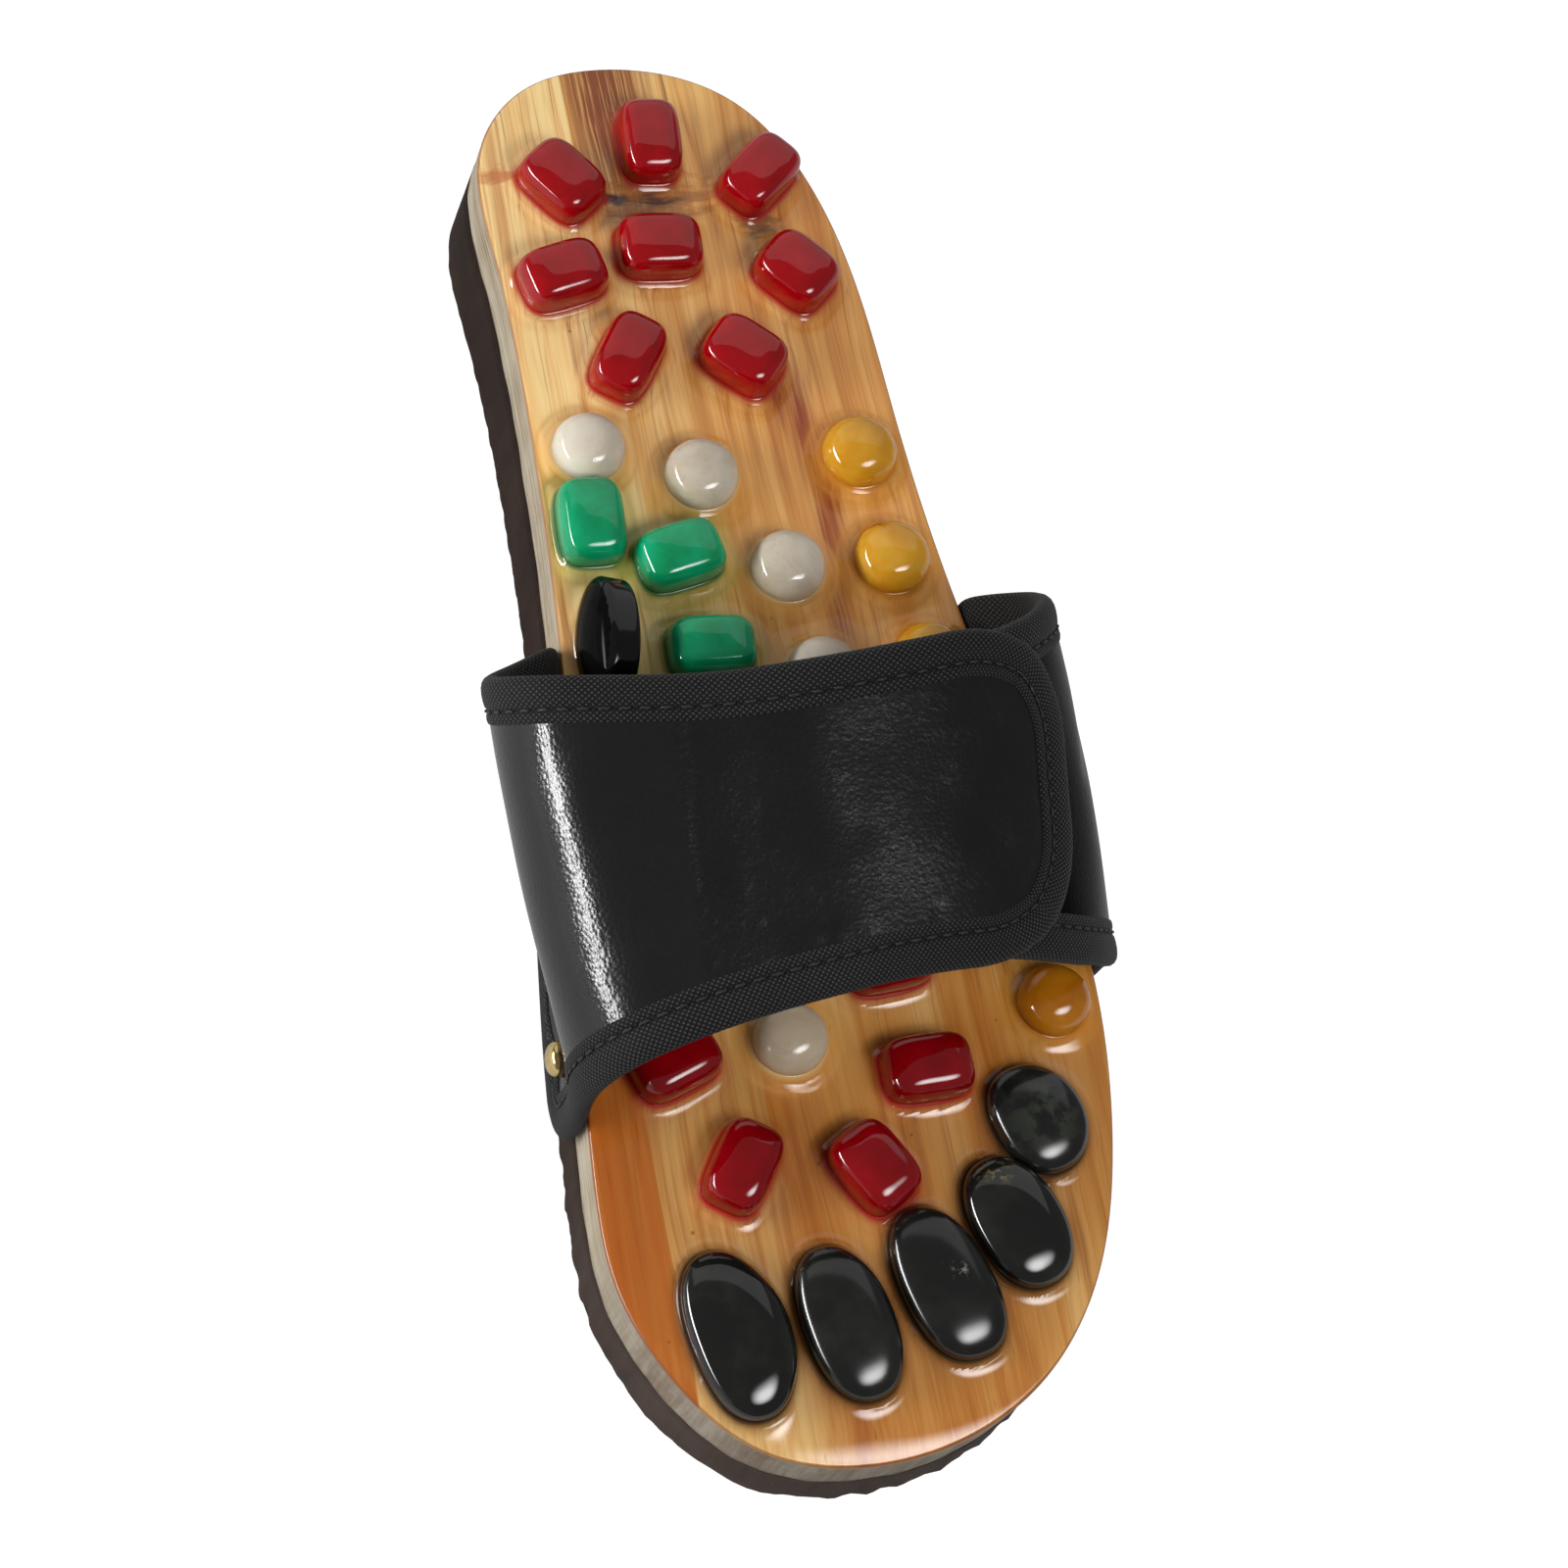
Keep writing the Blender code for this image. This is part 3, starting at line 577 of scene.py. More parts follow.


# painted light beside the medial edge, where the stones are palest, and painted shade of the strap, browner
# under its toeward edge
def whiteFinish():
    finish, place, colour = agate("white_agate")
    # painted light from the medial side on the upper part of the stones beside the medial edge
    pale = place.axis("X").between(-18.0, -30.0) * place.over().between(2.0, 5.0)
    colour = colour.mix((1.0, 0.93, 0.80), pale * 0.7)
    # painted shade of the strap, browner under its toeward edge
    shade = place.axis("Y").between(-66.0, -52.0).ramp((0.0, (1.0, 0.97, 0.92)), (1.0, (0.86, 0.72, 0.58)))
    return finish.feed(Base_Color=colour.mix(shade, place.front(), "MULTIPLY"))


# with painted shade of the strap on its toe side, and one red fleck
def yellowFinish():
    finish, place, colour = agate("honey_agate")
    # painted shade of the strap: multiplied darker on its toe side
    colour = colour.mix((0.74, 0.54, 0.36), place.front(), "MULTIPLY")
    fleck = place.axis("X").near(25.8, 2.2) * place.axis("Y").near(35.2, 2.0)
    fleck = fleck * place.noise(0.5).between(0.42, 0.55)
    return finish.feed(Base_Color=colour.mix((0.22, 0.015, 0.006), fleck))


# toe pebbles: the clear shine ends over the resin, so that no pale line runs round the foot of the stone
def blackFinish(name, shine):
    finish = polished(name, {"Specular IOR Level": 0.05, "Coat IOR": 1.54, "Coat Roughness": shine})
    place = finish.place()
    x, y = place.axis("X"), place.axis("Y")
    haze = place.noise(0.09, 4.0, 0.6).between(0.45, 0.75)
    colour = haze.ramp((0.0, (0.007, 0.007, 0.0065)), (1.0, (0.018, 0.0185, 0.015)))
    specks = place.cells(1.1, 0.0).between(0.16, 0.08) * place.noise(0.12, 2.0).between(0.6, 0.7)
    colour = colour.mix((0.12, 0.11, 0.08), specks * 0.35)
    # gold grains on the fourth stone, a pale chip on the third and moss on the last
    broken = place.noise(0.9, 4.0, 0.7).between(0.5, 0.62)
    colour = colour.mix((0.20, 0.15, 0.05), x.near(21.5, 4.6) * y.near(-90.6, 3.0) * broken * 0.8)
    colour = colour.mix((0.34, 0.33, 0.30), x.near(11.0, 2.4) * y.near(-107.2, 2.2) * broken * 0.7)
    moss = place.noise(0.26, 4.0, 0.6).between(0.44, 0.6)
    colour = colour.mix((0.034, 0.040, 0.027), x.near(32.7, 11.0) * y.near(-80.9, 11.0) * moss)
    return finish.feed(Base_Color=colour, Coat_Weight=place.over().between(0.9, 3.2))


def archFinish(name, gloss):
    finish = polished(name, {"Specular IOR Level": gloss})
    haze = finish.place().noise(0.2, 4.0, 0.6)
    colour = haze.ramp((0.3, (0.0025, 0.0025, 0.0028)), (0.7, (0.006, 0.006, 0.0055)))
    return finish.feed(Base_Color=colour, Roughness=0.05 + haze * 0.05)


# Footbed: clear resin over glued fir strips, climbing the stones, and a raw sawn edge
footbed = {"columns": 168, "rows": 440, "lip": 0.8, "lipSteps": 4, "sideSteps": 6, "sawn": 0.10, "wave": 0.05,
           "sideIn": 0.1, "droop": 0.12, "droopReach": 3.0, "toeDroop": 0.95, "toeReach": 5.0, "toeX": -14.0,
           "toeSpread": 24.0, "toeStart": -100.0, "toeRamp": 22.0, "rimFade": 3.0, "poolReach": 3.1,
           "poolEdge": 1.1, "meetAt": 0.1, "meetRamp": 0.6, "under": 0.04, "sinkAt": 1.2, "sinkRamp": 0.5,
           "ringAt": 2.8, "ringWidth": 0.45, "skinWidth": 0.5, "dullReach": 0.9,
           "lipTint": (0.20, 0.055, 0.012, 0.75)}


# resin over the flat: soft waves, the climb at each stone, and a droop to the rim, most of all before the
# big toe
def resinHeight(spots):
    x, y = spots.T
    wave = footbed["wave"] * np.sin(x * 0.11 + y * 0.043) * np.sin(y * 0.071 - x * 0.05 + 1.3)
    ragged = 0.4 * np.sin(x * 0.61 + y * 0.37) + 0.3 * np.sin(y * 0.83 - x * 0.29)
    climb, pool = np.zeros(len(spots)), np.zeros(len(spots))
    for lie in stones.values():
        away = np.clip(fromStone(lie, spots), 0, None)
        climb += (lie["climb"] * np.exp(-away / lie["fall"])) ** 4
        edge = ease((footbed["poolReach"] + ragged - away) / footbed["poolEdge"])
        pool = np.maximum(pool, lie["pool"] * edge)
    away, rim = rimAway(spots)
    inside = away - footbed["lip"]
    toeward = hump(rim[:, 0] - footbed["toeX"], footbed["toeSpread"])
    toeward *= ease((footbed["toeStart"] - rim[:, 1]) / footbed["toeRamp"])
    reach = footbed["droopReach"] + footbed["toeReach"] * toeward
    droop = (footbed["droop"] + footbed["toeDroop"] * toeward) * (1 - np.clip(inside / reach, 0, 1)) ** 2
    return wave + (pool + climb ** 0.25) * ease(inside / footbed["rimFade"]) - droop


# painted halos: the stone's colour reflected in the resin round it, painted shadow round the dark stones and
# a painted ring at the pool's edge, under the stone's own tone where the resin covers its foot
def paintedHalosAndSkin(spots):
    colour, weight = np.zeros((len(spots), 3)), np.zeros(len(spots))
    for lie in stones.values():
        away = np.clip(fromStone(lie, spots), 0, None)
        share = lie["strength"] * np.exp(-(away / lie["spread"]) ** 1.5)
        share += lie["ring"] * hump(away - footbed["ringAt"], footbed["ringWidth"])
        skin = hump(away, footbed["skinWidth"])
        colour += np.outer(share * (1 - skin), lie["tint"]) + np.outer(skin, lie["skin"])
        weight += share * (1 - skin) + skin
    return np.column_stack([colour / np.clip(weight, 1e-6, None)[:, None], np.clip(weight, 0, 1)])


# painted halos beside the stones (reflection and shadow), the brown line round the lip, and the dull foot of
# the toe pebbles
def paintHalosAndDullFoot(piece, lip):
    spots = toBoard([vertex.co for vertex in piece.data.vertices])[:, :2]
    foot = hump(np.clip(nearestStone(pebbles, spots), 0, None), footbed["dullReach"])
    dull = piece.data.attributes.new("dullFoot", "FLOAT", "POINT")
    dull.data.foreach_set("value", foot.astype(np.float32))
    halosSkinAndLip = paintedHalosAndSkin(spots)
    halosSkinAndLip[lip] = footbed["lipTint"]
    tint = piece.data.attributes.new("paintedHaloSkinAndLip", "FLOAT_COLOR", "POINT")
    tint.data.foreach_set("color", halosSkinAndLip.astype(np.float32).ravel())
    return piece


def footbedPiece(topFinish, sideFinish):
    lip = footbed["lip"]
    shape = discGrid(footbed["columns"], footbed["rows"])
    spots = discToSole(discPlaces(shape, shape.verts), -lip)
    away = nearestStone(stones, spots)
    height = resinHeight(spots) * ease((away - footbed["meetAt"]) / footbed["meetRamp"])
    height -= footbed["under"] * ease((footbed["sinkAt"] - away) / footbed["sinkRamp"])
    lay(shape.verts, spots, height)
    flatCount = len(shape.verts)
    for step in range(1, footbed["lipSteps"] + 1):
        turn = math.pi / 2 * step / footbed["lipSteps"]
        ring = growRim(shape)
        disc = discPlaces(shape, ring)
        height = lip * (math.cos(turn) - 1) + resinHeight(discToSole(disc, -lip))
        lay(ring, discToSole(disc, lip * (math.sin(turn) - 1)), height)
    topFaces, lipStart = len(shape.faces), flatCount + len(ring)
    first = -lip - footbed["droop"] - footbed["toeDroop"]
    for step in range(1, footbed["sideSteps"] + 1):
        ring = growRim(shape)
        disc = discPlaces(shape, ring)
        turn = np.arctan2(disc[:, 1], disc[:, 0])
        sawn = footbed["sawn"] * np.sin(turn * 47 + step * 2.1) * np.sin(turn * 17 + step)
        low = first - (board["thickness"] + first) * step / footbed["sideSteps"]
        lay(ring, discToSole(disc, sawn - footbed["sideIn"]), low)
    closeRim(shape)
    shape.faces.ensure_lookup_table()
    for face in shape.faces[topFaces:]:
        face.material_index = 1
    piece = addPiece("resin_footbed", shape, [topFinish, sideFinish], ["footbed"])
    return paintHalosAndDullFoot(piece, slice(lipStart, None))


# Resin collars: a closed ring round each stone on the resin's own height, from under the stone's edge
collar = {"around": 112, "edgeSteps": 1441, "under": 0.7, "steps": 9, "crowding": 1.4, "reach": 1.8,
          "leastReach": 0.1, "tries": 32, "sunk": 0.4, "clear": 1.2, "dive": 0.16, "diveReach": 0.9,
          "overlap": 0.3, "neighbours": 45.0, "weld": 0.000001}


# a stone's edge in plan at even spaces, with the way outwards
def stoneEdge(lie):
    turn = np.linspace(0, 2 * math.pi, collar["edgeSteps"])
    a, b = (np.sign(wave) * abs(wave) ** (2 / lie["plan"]) for wave in (np.cos(turn), np.sin(turn)))
    edge = stoneSpots(lie, a, b)
    way = wayAlong(edge)
    edge = pointsAt(np.linspace(0, way[-1], collar["around"], endpoint=False), way, edge)
    along = unit(np.roll(edge, -1, axis=0) - np.roll(edge, 1, axis=0))
    out = np.column_stack([along[:, 1], -along[:, 0]])
    return edge, out * np.sign(((edge - lie["middle"]) * out).sum(axis=1))[:, None]


# room for a collar at each place round a stone: it ends before the rim and half way to the next stone
def collarReach(name, edge, out):
    reach, middle = collar["reach"], stones[name]["middle"]
    near = [lie for other, lie in stones.items()
            if other != name and np.linalg.norm(lie["middle"] - middle) < collar["neighbours"]]
    room = np.full(len(edge), reach)
    for far in np.linspace(reach, collar["leastReach"], collar["tries"]):
        spots = edge + out * far
        taken = rimAway(spots)[0] < collar["clear"]
        for lie in near:
            taken |= fromStone(lie, spots) < far
        room = np.where(taken, far, room)
    return np.minimum(room + collar["overlap"], reach)


def collarPiece(material):
    shape = bmesh.new()
    steps, under = collar["steps"], collar["under"]
    share = np.linspace(0, 1, steps) ** collar["crowding"]
    for name, lie in stones.items():
        edge, out = stoneEdge(lie)
        room = collarReach(name, edge, out)
        verts, place, ring = countedGrid(shape, collar["around"], steps + 1)
        place, ring = place % collar["around"], ring % (steps + 1)
        top = ring < steps
        far = np.where(top, share[np.minimum(ring, steps - 1)] * (room[place] + under) - under, -under)
        spots = edge[place] + out[place] * far[:, None]
        dive = collar["dive"] * ease((far - room[place] + collar["diveReach"]) / collar["diveReach"])
        lay(verts, spots, np.where(top, resinHeight(spots) - dive, -collar["sunk"]))
    bmesh.ops.remove_doubles(shape, verts=shape.verts, dist=collar["weld"])
    return paintHalosAndDullFoot(addPiece("resin_collars", shape, [material]), slice(0, 0))


# Fir: lengthwise strips with their own tones, growth lines, streaks and knots, in board millimetres.
# Heart, streak and knot: x, y, reach across and along, share and tone
fir = {
    "stripBorders": (-38.5, -16.0, 17.5),
    "heart": (-8.0, 136.0, 13.0, 46.0, 1.5, (0.25, 0.058, 0.010)),
    "streaks": (
        (3.8, 130.0, 0.9, 16.0, 0.7, (0.16, 0.05, 0.018)),
        (7.0, 70.0, 1.2, 22.0, 0.55, (0.36, 0.09, 0.016)),
        (-1.5, 74.0, 1.0, 24.0, 0.4, (0.42, 0.13, 0.03)),
        (14.0, 70.0, 6.0, 26.0, 0.65, (0.52, 0.16, 0.028)),
        (19.0, 48.0, 6.5, 28.0, 0.65, (0.52, 0.16, 0.028)),
        (17.0, 20.0, 6.0, 28.0, 0.6, (0.50, 0.15, 0.026)),
        (13.3, 71.0, 3.0, 18.0, 1.3, (0.27, 0.05, 0.008)),
        (17.2, 59.0, 3.4, 17.0, 1.3, (0.28, 0.045, 0.007)),
        (20.0, 48.0, 3.0, 18.0, 1.3, (0.28, 0.045, 0.007)),
        (18.0, 35.0, 3.2, 20.0, 1.3, (0.32, 0.055, 0.008)),
        (16.0, 16.0, 3.2, 22.0, 1.0, (0.28, 0.05, 0.008)),
        (24.0, 30.0, 1.0, 24.0, 0.4, (0.40, 0.085, 0.012)),
        (10.5, -80.0, 1.1, 26.0, 0.55, (0.38, 0.09, 0.012)),
        (15.5, -76.0, 0.8, 20.0, 0.45, (0.36, 0.085, 0.012)),
        (36.0, -104.0, 1.4, 24.0, 0.6, (0.34, 0.075, 0.010)),
        (22.5, -128.0, 1.6, 14.0, 0.5, (0.38, 0.085, 0.012)),
    ),
    "knots": (
        (-2.0, 108.5, 17.0, 6.5, 0.75, (0.34, 0.115, 0.024)),
        (-11.5, 109.2, 5.6, 2.4, 0.95, (0.040, 0.038, 0.042)),
        (-2.6, 108.2, 6.0, 2.0, 0.9, (0.060, 0.050, 0.048)),
        (17.0, 103.0, 5.0, 4.2, 0.8, (0.15, 0.075, 0.04)),
        (-32.3, 116.0, 5.0, 2.4, 0.7, (0.52, 0.14, 0.03)),
    ),
}


def firFinish():
    finish = Finish("fir_under_resin", {"IOR": 1.45, "Specular IOR Level": 0.1, "Coat Weight": 1.0,
                                        "Coat Roughness": 0.02, "Coat IOR": 1.5})
    place = finish.place()
    x, y = place.axis("X"), place.axis("Y")
    # grain that drifts and wobbles across the board
    drift = place.stretch((0.03, 0.010, 0.03)).noise(1.0, 2.0) - 0.5
    wobble = place.stretch((0.12, 0.030, 0.1)).noise(1.0, 2.0) - 0.5
    across = x + drift * 8.0 + wobble * 1.4
    grain = place.add("CombineXYZ", {}, {0: across, 1: y, 2: place.axis("Z")})
    strip = x + wobble * 2.6
    broad = grain.stretch((0.085, 0.005, 0.05)).noise(1.0, 2.0, 0.5)
    bands = grain.stretch((0.36, 0.008, 0.2)).noise(1.0, 3.0, 0.55)
    fibre = grain.stretch((2.1, 0.032, 1.0)).noise(1.0, 3.0, 0.6)
    tone = broad * 0.8 + bands * 0.5 + fibre * 0.16 - 0.23
    colour = tone.ramp((0.34, (0.56, 0.195, 0.034)), (0.45, (0.77, 0.36, 0.085)), (0.55, (0.91, 0.51, 0.155)),
                       (0.68, (1.0, 0.66, 0.26)))
    # strips: deep orange along the big toe, pale beside it, amber, then a redder one
    low, middle, high = fir["stripBorders"]
    edge = 0.25
    soft = y.between(-80.0, -110.0) * 7.0 + edge
    pale = x.between(low - edge, low + edge) * x.between(soft + middle, middle - soft)
    colour = colour.mix((1.0, 0.76, 0.34), pale * (0.35 + bands.between(0.35, 0.6) * 0.45))
    orange = x.between(low + edge, low - edge) * (0.5 + bands.between(0.4, 0.6) * 0.4)
    colour = colour.mix((0.70, 0.21, 0.022), orange)
    redder = x.between(high - edge, high + edge) * y.between(-90.0, -30.0) * 0.35
    colour = colour.mix((0.72, 0.29, 0.06), redder)
    # growth lines, wide and narrow
    fade = place.stretch((0.3, 0.03, 0.2)).noise(1.0, 2.0, 0.5).between(0.35, 0.62)
    wide = grain.stretch((0.30, 0.0045, 0.2), (7.0, 0.0, 0.0)).noise(1.0, 1.0)
    narrow = grain.stretch((0.85, 0.010, 0.4), (3.0, 5.0, 0.0)).noise(1.0, 2.0)
    lines = abs(wide - 0.5).between(0.05, 0.0) * (0.15 + fade * 0.3)
    lines = lines + abs(narrow - 0.5).between(0.045, 0.0) * fade * 0.36
    colour = colour.mix((0.40, 0.11, 0.016), lines * (0.4 + y.between(-110.0, -30.0) * 0.6))
    # brown heartwood beside the heel's pale strip, and red streaks
    heartX, heartY, reachX, reachY, share, tint = fir["heart"]
    heart = strip.near(heartX, reachX) * y.near(heartY, reachY) * x.between(middle - edge, middle + edge)
    colour = colour.mix(tint, heart * (fibre.between(0.66, 0.4) * 0.6 + 0.4) * share)
    broken = fibre.between(0.62, 0.42) * 0.4 + 0.6
    for streakX, streakY, reachX, reachY, share, tint in fir["streaks"]:
        colour = colour.mix(tint, strip.near(streakX, reachX) * y.near(streakY, reachY) * broken * share)
    split = fibre.between(0.6, 0.7) * bands.between(0.5, 0.62)
    colour = colour.mix((0.20, 0.05, 0.012), split * 0.6)
    # knots: grey-blue smudges in a brown swirl
    rough = place.stretch((0.16, 0.5, 0.2)).noise(1.0, 4.0, 0.6) - 0.5
    for knotX, knotY, reachX, reachY, share, tint in fir["knots"]:
        field = place.stretch((1 / reachX, 1 / reachY, 0.05), (-knotX / reachX, -knotY / reachY, 0.0))
        away = field.add("VectorMath", {"operation": "LENGTH"}, {0: field}, 1) + rough * 2.2
        colour = colour.mix(tint, away.between(1.0, 0.35) * share)
    # painted shade of the strap: darker and more orange on its toe side, less so at the lateral toe tip and
    # on the pale strip
    deep = y.between(-35.0, -70.0) * (1 - (x.between(14.0, 30.0) + pale) * y.between(-90.0, -120.0) * 0.45)
    colour = colour.mix((0.62, 0.47, 0.33), deep, "MULTIPLY")
    # pin specks in the resin, then the painted halos round the stones
    colour = colour.mix((0.16, 0.06, 0.02), place.cells(0.11, 0.0).between(0.055, 0.03) * 0.7)
    colour = colour.mix(finish.attribute("paintedHaloSkinAndLip", "Color"), finish.attribute("paintedHaloSkinAndLip", "Alpha"))
    shine = 1 - finish.attribute("dullFoot") * 0.92
    return finish.feed(Base_Color=colour, Roughness=0.42 + fibre * 0.2, Coat_Weight=shine,
                       Normal=fibre.bump(0.05, 0.25))


def sawnFinish():
    finish = Finish("raw_sawn_fir", {"IOR": 1.4, "Specular IOR Level": 0.25})
    place = finish.place()
    plies = place.stretch((0.02, 0.02, 1.15)).noise(1.0, 3.0, 0.6)
    saw = place.stretch((0.16, 0.16, 4.2)).noise(1.0, 4.0, 0.65)
    ends = place.stretch((0.09, 0.09, 0.02)).noise(1.0, 2.0)
    tone = plies * 0.5 + saw * 0.4 + ends * 0.2
    colour = tone.ramp((0.38, (0.17, 0.12, 0.07)), (0.5, (0.30, 0.24, 0.165)), (0.62, (0.45, 0.40, 0.31)))
    # end grain before the toes: upright marks, with greyer and browner blocks
    toeward = place.axis("Y").between(-85.0, -112.0)
    blocks = place.stretch((0.075, 0.075, 0.0)).noise(1.0, 1.0)
    marks = place.stretch((0.75, 0.75, 0.06)).noise(1.0, 3.0, 0.6)
    end = (blocks * 0.6 + marks * 0.5).ramp((0.42, (0.15, 0.105, 0.075)), (0.55, (0.23, 0.185, 0.14)),
                                            (0.66, (0.32, 0.285, 0.23)))
    height = saw + marks * toeward
    return finish.feed(Base_Color=colour.mix(end, toeward * 0.85), Roughness=0.75 + saw * 0.15,
                       Normal=height.bump(0.25, 0.7))


# Foam wedge under the board, its underside rippled, which leaves a ragged lower edge
foam = {"columns": 84, "rows": 220, "flare": 0.8, "spring": 1.8, "springStart": -100.0, "gap": 0.3,
        "steps": 7, "crowding": 1.6, "ripple": 0.45, "pitch": 4.6, "sway": 2.0, "swayPitch": 17.0,
        "ragged": 0.22, "raggedStart": -20.0, "raggedRamp": 80.0, "rimStart": 0.985}


def foamPiece(material):
    shape = discGrid(foam["columns"], foam["rows"])
    disc = discPlaces(shape, shape.verts)
    flare = foam["flare"] * (disc[:, 1] + 1) / 2
    x, y = discToSole(disc, flare).T
    sway = foam["sway"] * np.arcsin(np.sin(x * 2 * math.pi / foam["swayPitch"])) * 2 / math.pi
    wave = np.cos((y + sway) * 2 * math.pi / foam["pitch"])
    groove = foam["ripple"] * ease((wave - 0.1) / 0.9)
    spring = np.clip((foam["springStart"] - y) / (foam["springStart"] - toeY), 0, None) ** 2
    rim = ease((lengths(disc) - foam["rimStart"]) / (1 - foam["rimStart"]))
    way = x + y
    ragged = np.sin(way * 0.69 + 1.8 * np.sin(way * 0.13)) + 0.6 * np.sin(way * 1.13 + 0.6)
    ragged += 0.2 * np.sin(way * 2.9)
    toeward = ease((foam["raggedStart"] - y) / foam["raggedRamp"])
    loose = foam["ragged"] * rim * (0.3 + 0.7 * toeward)
    low = discToSole(disc, flare + loose * (ragged - 0.6))
    low = np.column_stack([low, groove + foam["spring"] * spring])
    low[:, :2] += board["origin"][:2]
    moveTo(shape.verts, low * mm)
    base = {tuple(np.round(place, 6)): point for place, point in zip(disc, low)}
    for step in range(1, foam["steps"] + 1):
        share = (step / foam["steps"]) ** foam["crowding"]
        ring = growRim(shape)
        disc = discPlaces(shape, ring)
        under = np.full(len(ring), -board["thickness"] - foam["gap"])
        top = onBoard(np.column_stack([discToSole(disc, 0.0), under])) / mm
        bottom = np.array([base[tuple(np.round(place, 6))] for place in disc])
        bottom[:, 2] *= 1 - share
        moveTo(ring, (bottom + (top - bottom) * share) * mm)
    closeRim(shape)
    return addPiece("foam_sole", shape, [material], ["outsole"])


# dark along most of its length, partly as painted shade, and paler before the toes
def foamFinish():
    finish = Finish("brown_foam_rubber", {"IOR": 1.4, "Specular IOR Level": 0.25})
    place = finish.place()
    pores = place.cells(1.7, 0.15)
    scrape = place.stretch((0.5, 0.5, 0.05)).noise(1.0, 4.0, 0.65)
    tone = place.noise(0.07, 3.0, 0.5) * 0.5 + scrape * 0.5
    # the ramp's dark tones are partly painted shade
    colour = tone.ramp((0.35, (0.012, 0.0060, 0.0038)), (0.5, (0.017, 0.0085, 0.0056)),
                       (0.66, (0.025, 0.0135, 0.0095)))
    pale = place.axis("Y").between(-50.0, -125.0) * (tone.between(0.3, 0.6) * 0.3 + 0.5)
    colour = colour.mix((0.072, 0.052, 0.043), pale)
    colour = colour.mix((0.020, 0.013, 0.010), pores.between(0.22, 0.08) * 0.5)
    height = pores * 0.5 + scrape * 0.7
    return finish.feed(Base_Color=colour, Roughness=0.82 + scrape * 0.12, Normal=height.bump(0.3, 0.55))


# Strap
strap = {"wall": 2.4, "hemCorner": 9.0, "flapCorner": 25.0, "tuck": 1.6, "tuckStart": 0.45, "tuckRamp": 0.3,
         "bulge": 2.2, "lapStart": 80.0, "lapRamp": 20.0, "lap": 2.7, "flapEnd": 9.12, "tuckEnd": 7.2,
         "inset": 0.7, "soft": 0.09}
# sections from the medial hem over the instep to the lateral hem: heelward edge x, y and height, then the
# toeward edge. The three rows at each end stand off the sole's side by their first number
strapSections = (
    ("medial hem", 2.6, 20.0, -16.0, 0.9, -70.0, -16.0),
    ("medial tack", 0.9, 19.8, -7.0, 0.7, -71.0, -7.0),
    ("medial edge", 1.0, 19.0, 0.8, 0.8, -71.0, 0.8),
    ("medial wall", -47.5, 13.5, 10.0, -50.6, -70.6, 6.5),
    ("medial bulge", -57.0, 5.8, 24.0, -49.6, -69.6, 15.0),
    ("medial bend", -53.5, -0.5, 38.5, -44.0, -68.4, 25.5),
    ("medial crown", -39.0, -4.2, 44.0, -30.0, -66.0, 32.5),
    ("crown", -15.0, -6.4, 46.5, -9.0, -63.3, 35.5),
    ("lateral crown", 20.0, -2.6, 44.0, 16.0, -60.8, 32.8),
    ("lateral bend", 40.0, 3.6, 35.0, 35.0, -59.6, 25.0),
    ("lateral bulge", 47.6, 11.6, 22.5, 46.0, -57.4, 14.0),
    ("lateral wall", 46.0, 17.6, 9.5, 51.6, -54.6, 4.0),
    ("lateral edge", 1.0, 20.8, 0.8, 0.8, -53.4, 0.8),
    ("lateral tack", 0.9, 21.4, -7.0, 0.7, -53.0, -7.0),
    ("lateral hem", 1.6, 22.0, -16.0, 1.2, -52.6, -16.0),
)


def sectionPoints(share):
    rows = []
    for place, *sizes in strapSections:
        heel, toe = np.array(sizes[:3]), np.array(sizes[3:])
        point = toe + (heel - toe) * share[:, None]
        side, form = place.split() if " " in place else ("lateral", place)
        outward = -1 if side == "medial" else 1
        if form in ("hem", "tack", "edge"):
            point[:, 0] = sideX(side, point[:, 1]) + outward * (point[:, 0] + strap["wall"] / 2)
        elif form in ("wall", "bulge"):
            point[:, 0] += outward * strap["bulge"] * 4 * share * (1 - share)
        rows.append(point)
    return np.array(rows)


sectionRuns = wayAlong(sectionPoints(np.array([0.5]))[:, 0])
strapLength = sectionRuns[-1]


def sectionRun(section):
    return float(np.interp(section, np.arange(len(sectionRuns)), sectionRuns))


strapHalves = {
    "flap": {"fromMedial": True, "length": sectionRun(strap["flapEnd"]), "endCorner": strap["flapCorner"]},
    "lateral": {"fromMedial": False, "length": strapLength - sectionRun(strap["tuckEnd"]), "endCorner": 0.0},
}


# middle of the wall: run is the way from the medial hem, share the place across from the toeward edge
def strapMiddle(run, share):
    weights = cubicThrough(sectionRuns, np.eye(len(sectionRuns)), np.clip(run, 0, strapLength))
    return np.einsum("nk,knc->nc", weights, sectionPoints(share))


def strapOut(run, share):
    reach, nudge = 0.4, 0.01
    low, high = np.clip(run - reach, 0, None), np.clip(run + reach, None, strapLength)
    along = strapMiddle(high, share) - strapMiddle(low, share)
    across = strapMiddle(run, share + nudge) - strapMiddle(run, share - nudge)
    return unit(np.cross(along, across))


def strapWidth(run):
    return lengths(strapMiddle(run, np.ones(len(run))) - strapMiddle(run, np.zeros(len(run))))


